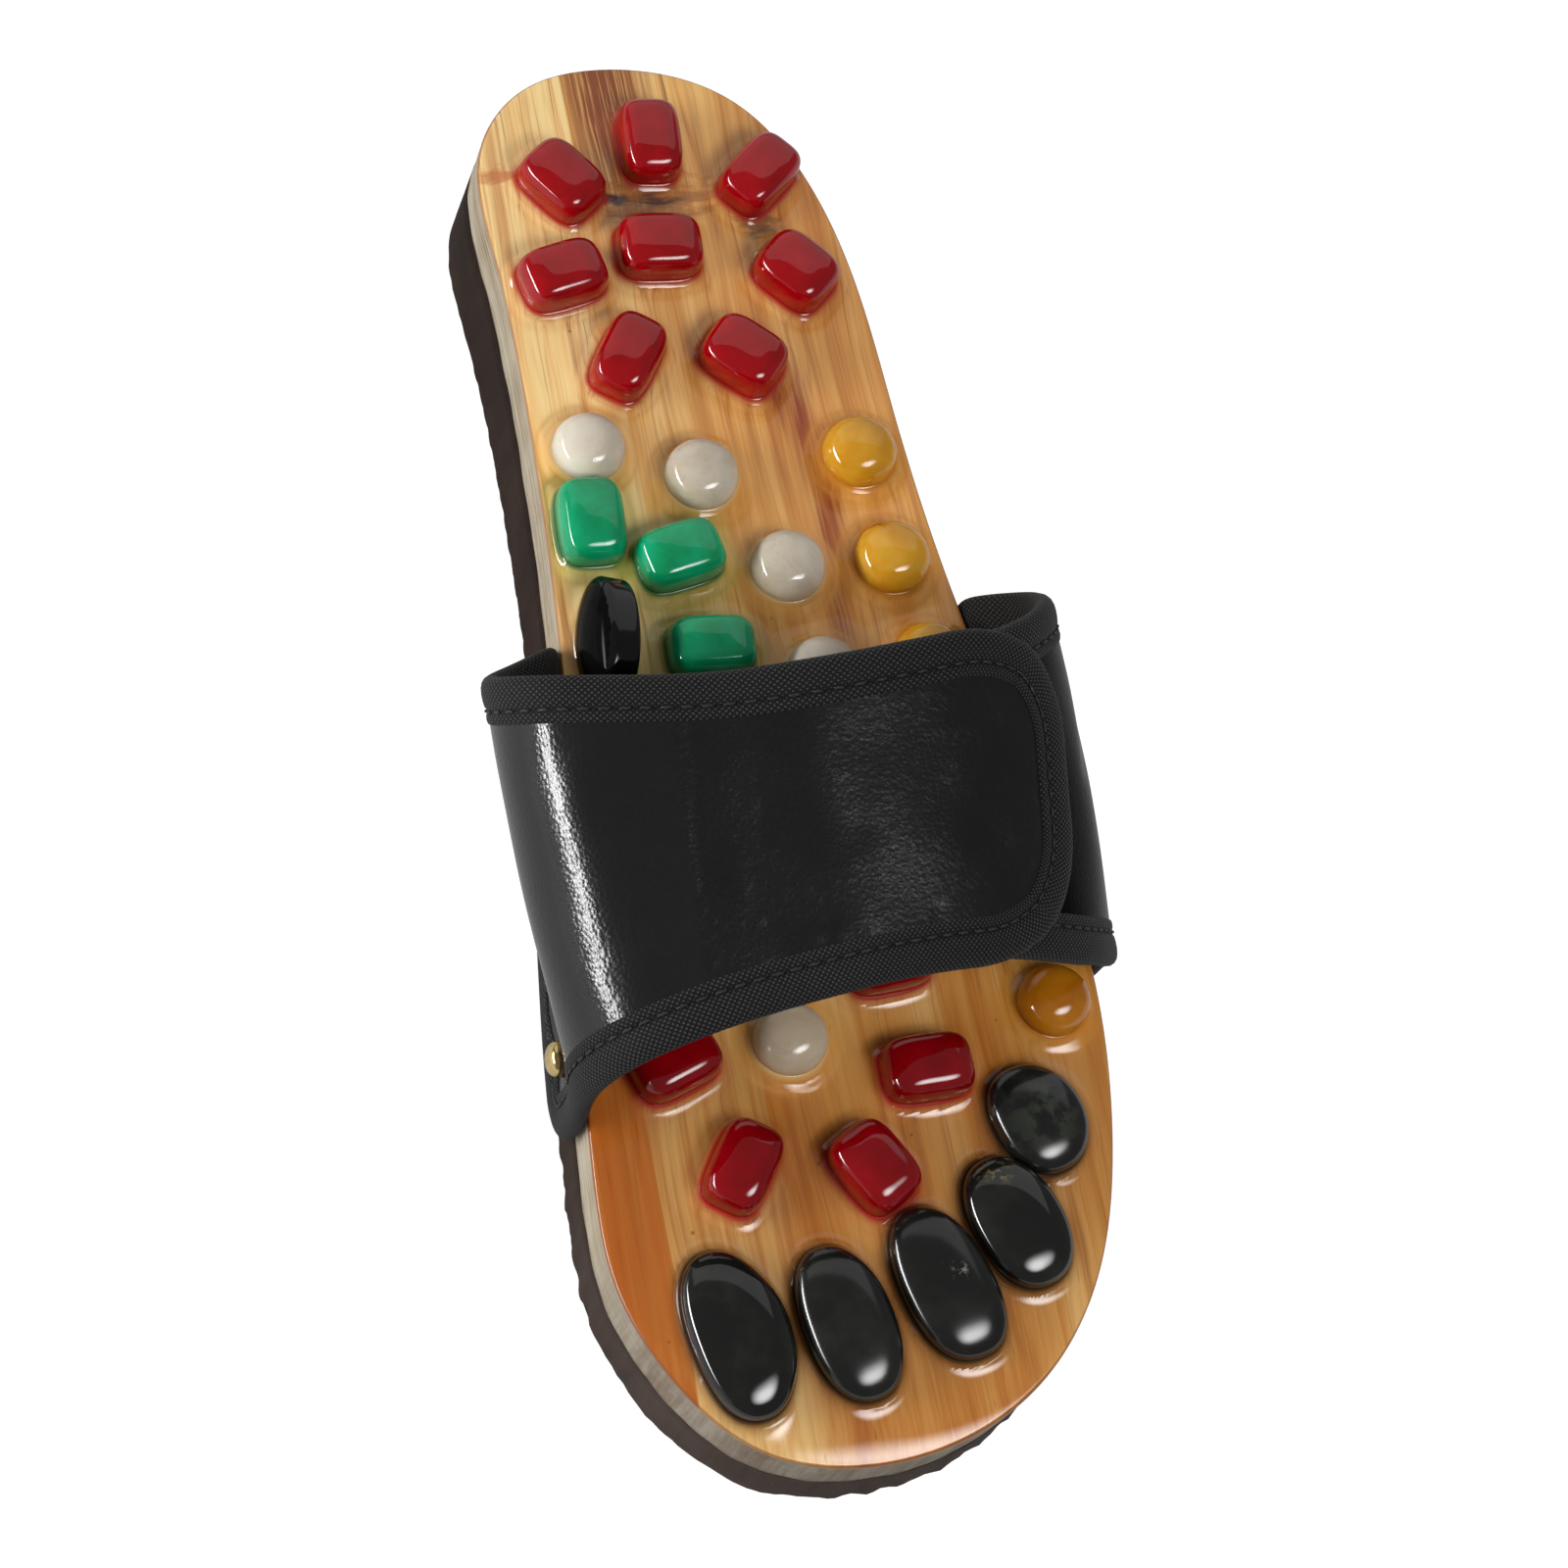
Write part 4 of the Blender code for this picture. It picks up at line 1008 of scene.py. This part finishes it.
# Creases: run and share of each end, height (a trough is negative), width, and how far the middle bows
creases = (
    ("instep fold", 78.0, 0.96, 71.5, 0.20, -0.20, 2.4, 2.0),
    ("instep fold line", 77.8, 0.92, 76.2, 0.64, -0.22, 0.9, 0.9),
    ("instep fold lower line", 76.8, 0.72, 72.6, 0.32, -0.20, 0.9, -0.8),
    ("instep fold branch", 79.6, 0.84, 76.4, 0.58, 0.12, 1.1, -0.7),
    ("instep fold ridge", 82.0, 0.90, 77.0, 0.24, 0.14, 3.2, 1.5),
    ("second fold", 90.0, 0.80, 84.0, 0.42, -0.10, 1.6, -1.0),
    ("first edge pucker", 67.0, 0.20, 69.4, 0.32, -0.16, 1.2, 0.3),
    ("second edge pucker", 90.6, 0.11, 92.0, 0.24, -0.14, 1.2, 0.3),
    ("third edge pucker", 112.8, 0.11, 114.4, 0.22, -0.14, 1.2, 0.3),
    ("flap slack", 104.0, 0.84, 98.0, 0.34, -0.18, 4.0, 2.0),
    ("flap end dip", 128.0, 0.70, 124.0, 0.26, -0.25, 5.0, 1.0),
    ("bend fold heelward", 60.0, 0.92, 47.0, 0.62, -0.10, 3.0, 1.5),
    ("bend fold toeward", 57.0, 0.16, 45.0, 0.34, -0.08, 3.0, -1.5),
    ("toeward edge pucker", 84.0, 0.20, 96.0, 0.16, 0.20, 2.0, 0.6),
    ("lateral wall fold", 166.0, 0.80, 158.0, 0.45, -0.25, 3.0, 1.0),
)
meanWidth, creaseFade = 80.0, 0.3


def creaseField(run, share):
    total = np.zeros(len(run))
    for name, runA, shareA, runB, shareB, height, spread, bow in creases:
        start = np.array([runA, shareA * meanWidth])
        along = np.array([runB, shareB * meanWidth]) - start
        length = np.linalg.norm(along)
        along = along / length
        away = np.column_stack([run, share * meanWidth]) - start
        t = away @ along / length
        side = away @ np.array([-along[1], along[0]]) - bow * 4 * t * (1 - t)
        total += height * hump(side, spread) * ease(t / creaseFade) * ease((1 - t) / creaseFade)
    return total


# Leather pulled in at the tacks and puffed out between them. Bands between two tacks: height, place over the
# line of tacks, how far it arches there, and width
tackPull = {"dip": 0.75, "dipReach": 3.6, "low": -14.0, "high": 16.0,
            "bands": ((1.0, -3.4, 0.0, 2.4), (-0.7, 1.3, 0.8, 1.1), (0.45, 4.2, 0.0, 2.0))}
tackNames = sorted(name for name in nodes if name.startswith("tack_"))


def tackField(points):
    total = np.zeros(len(points))
    for side in ("medial", "lateral"):
        spots = np.array([nodePoints(name).mean(axis=0) for name in tackNames if side in name])
        spots = spots[np.argsort(spots[:, 1])]
        y, above = points[:, 1], points[:, 2] - spots[:, 2].mean()
        field = np.zeros(len(points))
        for spot in spots:
            field -= tackPull["dip"] * hump(np.hypot(y - spot[1], above), tackPull["dipReach"])
        for first, second in zip(spots[:-1, 1], spots[1:, 1]):
            arch = np.sin(math.pi * np.clip((y - first) / (second - first), 0, 1))
            for height, place, rise, width in tackPull["bands"]:
                field += arch ** 2 * height * hump(above - place - rise * arch, width)
        near = points[:, 0] < 0 if side == "medial" else points[:, 0] > 0
        total += np.where(near & (above < tackPull["high"]) & (above > tackPull["low"]), field, 0.0)
    return total


def runOf(half, p):
    return p if half["fromMedial"] else strapLength - p


# strap points for places p along a half from its hem and q across from its middle line, at a height over the
# middle of the wall
def strapPlace(half, p, q, height):
    run = runOf(half, p)
    share = 0.5 + q / strapWidth(run)
    middle = strapMiddle(run, share)
    lift = height + tackField(middle) + creaseField(run, share)
    if half["fromMedial"]:
        lift = lift + strap["lap"] * ease((run - strap["lapStart"]) / strap["lapRamp"])
    lift = lift + strap["soft"] * np.sin(run * 0.21 + share * 5.0) * np.sin(share * 9.0 + run * 0.05)
    return onBoard(middle + strapOut(run, share) * lift[:, None])


def halfWidthAt(half, p):
    tuck = 0.0 if half["fromMedial"] else strap["tuck"]
    narrowing = tuck * ease((p / half["length"] - strap["tuckStart"]) / strap["tuckRamp"])
    return strapWidth(runOf(half, p)) / 2 - narrowing


# unit square's outer corner becomes a quarter circle
def rounded(x, y):
    low, high = np.minimum(x, y), np.maximum(x, y)
    turn = math.pi / 4 * low / np.clip(high, 1e-6, None)
    major, minor = high * np.cos(turn), high * np.sin(turn)
    inside = (x > 0) & (y > 0)
    first, second = np.where(x >= y, (major, minor), (minor, major))
    return np.where(inside, first, x), np.where(inside, second, y)


# rounds both corners of an end whose curves begin at the start and go one way along p
def roundEnd(p, q, wide, corner, start, way):
    along, out = rounded((p - start) * way / corner, (abs(q) - wide) / corner + 1)
    return start + way * corner * along, np.sign(q) * (wide + corner * (out - 1))


# places u along and v across a half, from 0 to 1 and -1 to 1, as p and q with round corners
def halfOutline(half, u, v, inset):
    length, corner = half["length"], half["endCorner"]
    p = inset + u * (length - inset - (inset if corner else 0.0))
    wide = halfWidthAt(half, p) - inset
    p, q = roundEnd(p, v * wide, wide, strap["hemCorner"], strap["hemCorner"], -1)
    return roundEnd(p, q, wide, corner, length - corner, 1) if corner else (p, q)


# Leather: bend, lining and crown are the finishes, and the crown begins at its x on the board
leather = {"columns": 104, "step": 0.8, "crown": -32.0}


def leatherPiece(name, half, finishes):
    shape = bmesh.new()
    rows = int(half["length"] / leather["step"])
    bmesh.ops.create_grid(shape, x_segments=rows, y_segments=leather["columns"], size=1.0)
    flat = corners(shape.verts)
    p, q = halfOutline(half, (flat[:, 0] + 1) / 2, flat[:, 1], strap["inset"])
    moveTo(shape.verts, strapPlace(half, p, q, strap["wall"] / 2))
    if not half["fromMedial"]:
        bmesh.ops.reverse_faces(shape, faces=shape.faces)
    shape.normal_update()
    outside = set(shape.faces)
    bmesh.ops.solidify(shape, geom=list(shape.faces), thickness=strap["wall"] * mm)
    for face in shape.faces:
        if face not in outside:
            face.material_index = 1
        elif toBoard(face.calc_center_median())[0] > leather["crown"]:
            face.material_index = 2
    return addPiece(name, shape, finishes, ["upper"])


# Binding tape wrapped over the edges: way in from the edge and height over the wall's middle, from outside
# to inside
tapeProfile = ((8.5, 1.22), (8.3, 1.5), (7.6, 1.66), (6.9, 1.62), (6.45, 1.42), (6.1, 1.36), (5.75, 1.40),
               (5.2, 1.72), (4.2, 1.88), (3.0, 1.94), (1.9, 1.86), (1.0, 1.6), (0.35, 1.1), (0.0, 0.4),
               (0.0, -0.4), (0.4, -1.1), (1.2, -1.5), (3.0, -1.65), (5.5, -1.6), (7.6, -1.5), (8.3, -1.4),
               (8.5, -1.2))
tape = {"step": 0.9, "closest": 0.2}
stitch = {"in": 6.1, "height": 1.52, "pitch": 3.3, "length": 2.5, "thread": 0.62, "lookAhead": 0.6}


# edge of a half as p and q with the way inwards: a closed round for the flap, and from end to end over the
# hem for the other
def edgePath(half):
    long, wide = half["length"], 2 * halfWidthAt(half, np.array([half["length"] / 2]))[0]
    steps, cross = int(long / tape["step"]), int(wide / tape["step"])
    up, over = np.linspace(0, 1, steps), np.linspace(-1, 1, cross)
    legs = [(up[::-1], np.full(steps, -1.0)), (np.zeros(cross), over), (up, np.full(steps, 1.0))]
    closed = half["endCorner"] > 0
    if closed:
        legs.append((np.ones(cross), over[::-1]))
    u, v = (np.concatenate([leg[k][1:] for leg in legs]) for k in range(2))
    path = np.column_stack(halfOutline(half, u, v, 0.0))
    keep = lengths(path - np.roll(path, 1, axis=0)) > tape["closest"]
    keep[0] = True
    path = path[keep]
    along = np.roll(path, -1, axis=0) - np.roll(path, 1, axis=0) if closed else np.gradient(path, axis=0)
    inward = unit(np.column_stack([-along[:, 1], along[:, 0]]))
    inward *= np.sign((((long / 2, 0.0) - path) * inward).sum(axis=1).mean())
    return path, inward, closed


def tapePiece(name, half, material):
    path, inward, closed = edgePath(half)
    if closed:
        path, inward = np.vstack([path, path[:1]]), np.vstack([inward, inward[:1]])
    profile = np.array(tapeProfile)
    shape = bmesh.new()
    verts, column, row = countedGrid(shape, len(path) - 1, len(profile) - 1)
    spot = path[column] + inward[column] * profile[row, :1]
    moveTo(verts, strapPlace(half, spot[:, 0], spot[:, 1], profile[row, 1]))
    places = dict(zip(verts, zip(wayAlong(path)[column], wayAlong(profile)[row])))
    weave = shape.loops.layers.uv.new("weave")
    for face in shape.faces:
        for loop in face.loops:
            loop[weave].uv = places[loop.vert]
    if closed:
        bmesh.ops.remove_doubles(shape, verts=shape.verts, dist=weld)
    return addPiece(name, shape, [material])


def stitchPiece(name, half, material):
    path, inward = edgePath(half)[:2]
    way, line = wayAlong(path), path + inward * stitch["in"]
    at = (np.arange(int(way[-1] / stitch["pitch"])) + 0.5) * stitch["pitch"]
    shape = bmesh.new()
    spots = [pointsAt(at + ahead, way, line) for ahead in (0.0, stitch["lookAhead"])]
    centre, front = (strapPlace(half, spot[:, 0], spot[:, 1], stitch["height"]) for spot in spots)
    size = np.array([stitch["length"], stitch["thread"], stitch["thread"]]) * mm / 2
    for middle, tip in zip(centre, front):
        turn = Vector(tip - middle).to_track_quat("X", "Z").to_matrix().to_4x4()
        lie = Matrix.Translation(middle) @ turn @ Matrix.Diagonal((*size, 1.0))
        bmesh.ops.create_uvsphere(shape, u_segments=6, v_segments=5, radius=1.0, matrix=lie)
    return addPiece(name, shape, [material])


def leatherFinish(name, gloss, tone, loose, dull):
    finish = Finish(name, {"IOR": 1.5, "Specular IOR Level": gloss})
    place = finish.place()
    pebble = place.cells(1.35, 0.35)
    fine = place.noise(3.2, 2.0, 0.5)
    patch = place.noise(0.07, 3.0, 0.55)
    wrinkle = abs(place.noise(0.55, 3.0, 0.6, 1.5) - 0.5).between(0.08, 0.0) * patch.between(0.3, 0.65)
    height = (fine * 0.35 - pebble) * (patch * 0.8 + 0.2) - wrinkle * loose
    dark = (tone * 0.75, tone * 0.75, tone * 0.77)
    colour = (patch * 0.6 + pebble * 0.5).ramp((0.3, dark), (0.7, (tone, tone, tone)))
    rough = dull + patch * 0.08 + fine * 0.04
    return finish.feed(Base_Color=colour, Roughness=rough, Normal=height.bump(0.10, 0.7))


def liningFinish():
    finish = Finish("black_lining_cloth", {"IOR": 1.4, "Specular IOR Level": 0.2, "Sheen Weight": 0.15})
    place = finish.place()
    nap = place.noise(1.6, 4.0, 0.65)
    ribs = (place.axis("Y") * 4.2).sine() * 0.5 + 0.5
    colour = (nap * 0.7 + ribs * 0.3).ramp((0.3, (0.007, 0.007, 0.007)), (0.7, (0.018, 0.018, 0.018)))
    height = nap + ribs * 0.4
    return finish.feed(Base_Color=colour, Roughness=0.85 + nap * 0.1, Normal=height.bump(0.15, 0.5))


# plain weave, lighter on its knuckles as painted sheen and darker between them as painted shade, with painted
# shade in the groove under the stitches
def tapeFinish():
    finish = Finish("black_woven_tape", {"IOR": 1.42, "Specular IOR Level": 0.25, "Sheen Weight": 0.05})
    thread = finish.map()
    turns = math.pi / 0.52
    knuckle = ((thread.axis("X") * turns).sine() * (thread.axis("Y") * turns).sine()).between(-0.25, 0.9)
    fuzz = finish.place().noise(2.2, 3.0, 0.6)
    # the knuckles' height also sets the colour: painted sheen on them, painted shade between
    tone = knuckle * 0.8 + fuzz * 0.3
    colour = tone.ramp((0.1, (0.0015, 0.0015, 0.0017)), (0.5, (0.008, 0.008, 0.0085)),
                       (0.95, (0.054, 0.054, 0.054)))
    # painted shade in the groove under the stitches
    colour = colour.mix((0.001, 0.001, 0.001), thread.axis("Y").near(2.6, 0.75) * 0.85)
    return finish.feed(Base_Color=colour, Roughness=0.62 + fuzz * 0.2, Normal=knuckle.bump(0.26, 0.9))


def threadFinish():
    finish = Finish("black_thread", {"IOR": 1.45})
    place = finish.place()
    twist = ((place.axis("X") + place.axis("Y")) * 9.0).sine() * 0.5 + 0.5
    colour = twist.ramp((0.0, (0.006, 0.006, 0.006)), (1.0, (0.024, 0.024, 0.024)))
    return finish.feed(Base_Color=colour, Roughness=0.45 + twist * 0.15, Normal=twist.bump(0.1, 0.6))


# Brass tacks: a turned domed head with a thin flange
tackHead = {"radius": 3.25, "dome": 2.15, "sunk": 1.1, "foot": 0.92, "flange": 0.5, "round": 0.9, "sides": 36,
            "rings": 9}


def tackPiece(name, material):
    points = nodePoints(name)
    middle = points.mean(axis=0)
    out = np.linalg.eigh(np.cov(points.T))[1][:, 0]
    out = out if out[0] * middle[0] > 0 else -out
    base = middle - out * np.ptp(points @ out) / 2
    radius, sunk = tackHead["radius"], tackHead["sunk"]
    outline = [(radius * tackHead["foot"], -sunk), (radius, -sunk * tackHead["flange"])]
    for turn in np.linspace(0, math.pi / 2, tackHead["rings"] + 1):
        outline.append((radius * math.cos(turn) ** tackHead["round"], tackHead["dome"] * math.sin(turn)))
    shape = bmesh.new()
    verts = [shape.verts.new((x * mm, 0.0, z * mm)) for x, z in outline]
    edges = [shape.edges.new(pair) for pair in zip(verts, verts[1:])]
    bmesh.ops.spin(shape, geom=verts + edges, cent=(0, 0, 0), axis=(0, 0, 1), angle=2 * math.pi,
                   steps=tackHead["sides"], use_merge=True)
    bmesh.ops.remove_doubles(shape, verts=shape.verts, dist=weld)
    closeRim(shape)
    foot = onBoard(base)
    turn = Vector(onBoard(base + out) - foot).to_track_quat("Z", "Y").to_matrix().to_4x4()
    bmesh.ops.transform(shape, matrix=Matrix.Translation(foot) @ turn, verts=shape.verts)
    return addPiece("domed_" + name, shape, [material], [name])


def brassFinish():
    finish = Finish("polished_brass", {"Metallic": 1.0, "IOR": 1.5})
    haze = finish.place().noise(0.8, 4.0, 0.6)
    colour = haze.ramp((0.3, (0.58, 0.40, 0.14)), (0.7, (0.82, 0.64, 0.31)))
    return finish.feed(Base_Color=colour, Roughness=0.09 + haze * 0.12, Normal=haze.bump(0.03, 0.3))


# Studio: pale floor and soft boxes. Radiance is in scene units, so that a white card under it all reads
# about 1. Boxes: place, aim, width, height, radiance, and whether it fades to its edge
studio = {
    "floor": 4.0,
    "floorTone": 0.4,
    "floorGlow": (0.30, 0.86),
    "world": 0.16,
    "boxes": {
        "heel panel": ((0.15, 0.80, 0.62), (0.0, 0.0, 0.0), 1.9, 1.15, 0.5, False),
        "medial strip": ((-0.92, 0.05, 0.30), (0.0, 0.0, 0.03), 1.25, 0.17, 44.0, True),
        "medial card": ((-1.0, -0.05, 0.2), (0.0, 0.0, 0.03), 1.8, 0.4, 0.32, False),
        "toe box": ((0.22, -0.36, 0.62), (0.0, 0.0, 0.02), 0.62, 0.34, 13.5, True),
    },
}


# a soft box fades from its middle to its edge
def softBox(data):
    data.use_nodes = True
    tree = data.node_tree
    spot = Wire(tree, tree.nodes.new("ShaderNodeNewGeometry").outputs["Parametric"])
    away = spot.add("VectorMath", {"operation": "DISTANCE"}, {0: spot, 1: (0.5, 0.5, 0.0)}, 1)
    tree.links.new(away.between(0.5, 0.08).socket, tree.nodes["Emission"].inputs["Strength"])


def seenDirectly(tree):
    return Wire(tree, tree.nodes.new("ShaderNodeLightPath").outputs["Is Camera Ray"])


def addStudio():
    scene = bpy.context.scene
    scene.view_settings.view_transform = "Standard"
    scene.world = bpy.data.worlds.new("studio")
    scene.world.use_nodes = True
    tree = scene.world.node_tree
    back = tree.nodes["Background"]
    back.inputs["Color"].default_value = (1.0, 1.0, 1.0, 1.0)
    strength = seenDirectly(tree) * (1.0 - studio["world"]) + studio["world"]
    tree.links.new(strength.socket, back.inputs["Strength"])
    for name, (place, aim, width, height, radiance, soft) in studio["boxes"].items():
        data = bpy.data.lights.new(name, "AREA")
        data.shape = "RECTANGLE"
        data.size, data.size_y = width, height
        data.energy = radiance * math.pi * width * height
        if soft:
            softBox(data)
        addAimed(name, data, place, aim)
    tone = studio["floorTone"]
    finish = Finish("pale_floor", {"Base Color": (tone, tone, tone, 1.0), "Roughness": 0.9,
                                   "Specular IOR Level": 0.1, "Emission Strength": 1.0})
    stops = [(seen, (glow, glow, glow)) for seen, glow in zip((0.0, 1.0), studio["floorGlow"])]
    finish.feed(Emission_Color=seenDirectly(finish.tree).ramp(*stops))
    shape = bmesh.new()
    bmesh.ops.create_grid(shape, x_segments=8, y_segments=8, size=studio["floor"])
    addMesh("floor", shape, [finish.material])


addCamera()
addStudio()
print("camera and studio ready")

stoneFinishes = {"red": redFinish(), "green": greenFinish(), "white": whiteFinish(), "yellow": yellowFinish(),
                 "toe": blackFinish("black_obsidian", 0.07)}
softNames = ("stone_toe_2", "stone_toe_3", "stone_toe_5")
softShine = dict.fromkeys(softNames, blackFinish("soft_black_obsidian", 0.16))
for stoneName in stones:
    if stoneName == "stone_black_arch":
        # the medial face is a shaded copy of the disc's finish: so little gloss that it stays dark, as
        # painted shade
        archDiscPiece(archFinish("black_disc_rim", 0.4), archFinish("shaded_black_disc_face", 0.03))
    else:
        stonePiece(stoneName, softShine.get(stoneName, stoneFinishes[stoneColour(stoneName)]))
print("stones polished", len(stones))

firWood = firFinish()
footbedPiece(firWood, sawnFinish())
collarPiece(firWood)
print("footbed laid")
foamPiece(foamFinish())
print("foam cut")

# the lateral half gets a copy of the leather painted much darker and almost without gloss: painted shade on
# that side
crownBlack = {"flap": leatherFinish("dull_black_leather", 0.3, 0.0095, 0.16, 0.18),
              "lateral": leatherFinish("shaded_black_leather", 0.03, 0.003, 0.1, 0.18)}
bendBlack = leatherFinish("glossy_black_leather", 0.5, 0.0092, 0.0, 0.12)
liningBlack, tapeBlack, threadBlack = liningFinish(), tapeFinish(), threadFinish()
for halfName, half in strapHalves.items():
    leatherPiece("leather_" + halfName, half, [bendBlack, liningBlack, crownBlack[halfName]])
    tapePiece("binding_" + halfName, half, tapeBlack)
    stitchPiece("stitches_" + halfName, half, threadBlack)
print("strap sewn")

brass = brassFinish()
for tackName in tackNames:
    tackPiece(tackName, brass)
print("tacks set", len(tackNames))
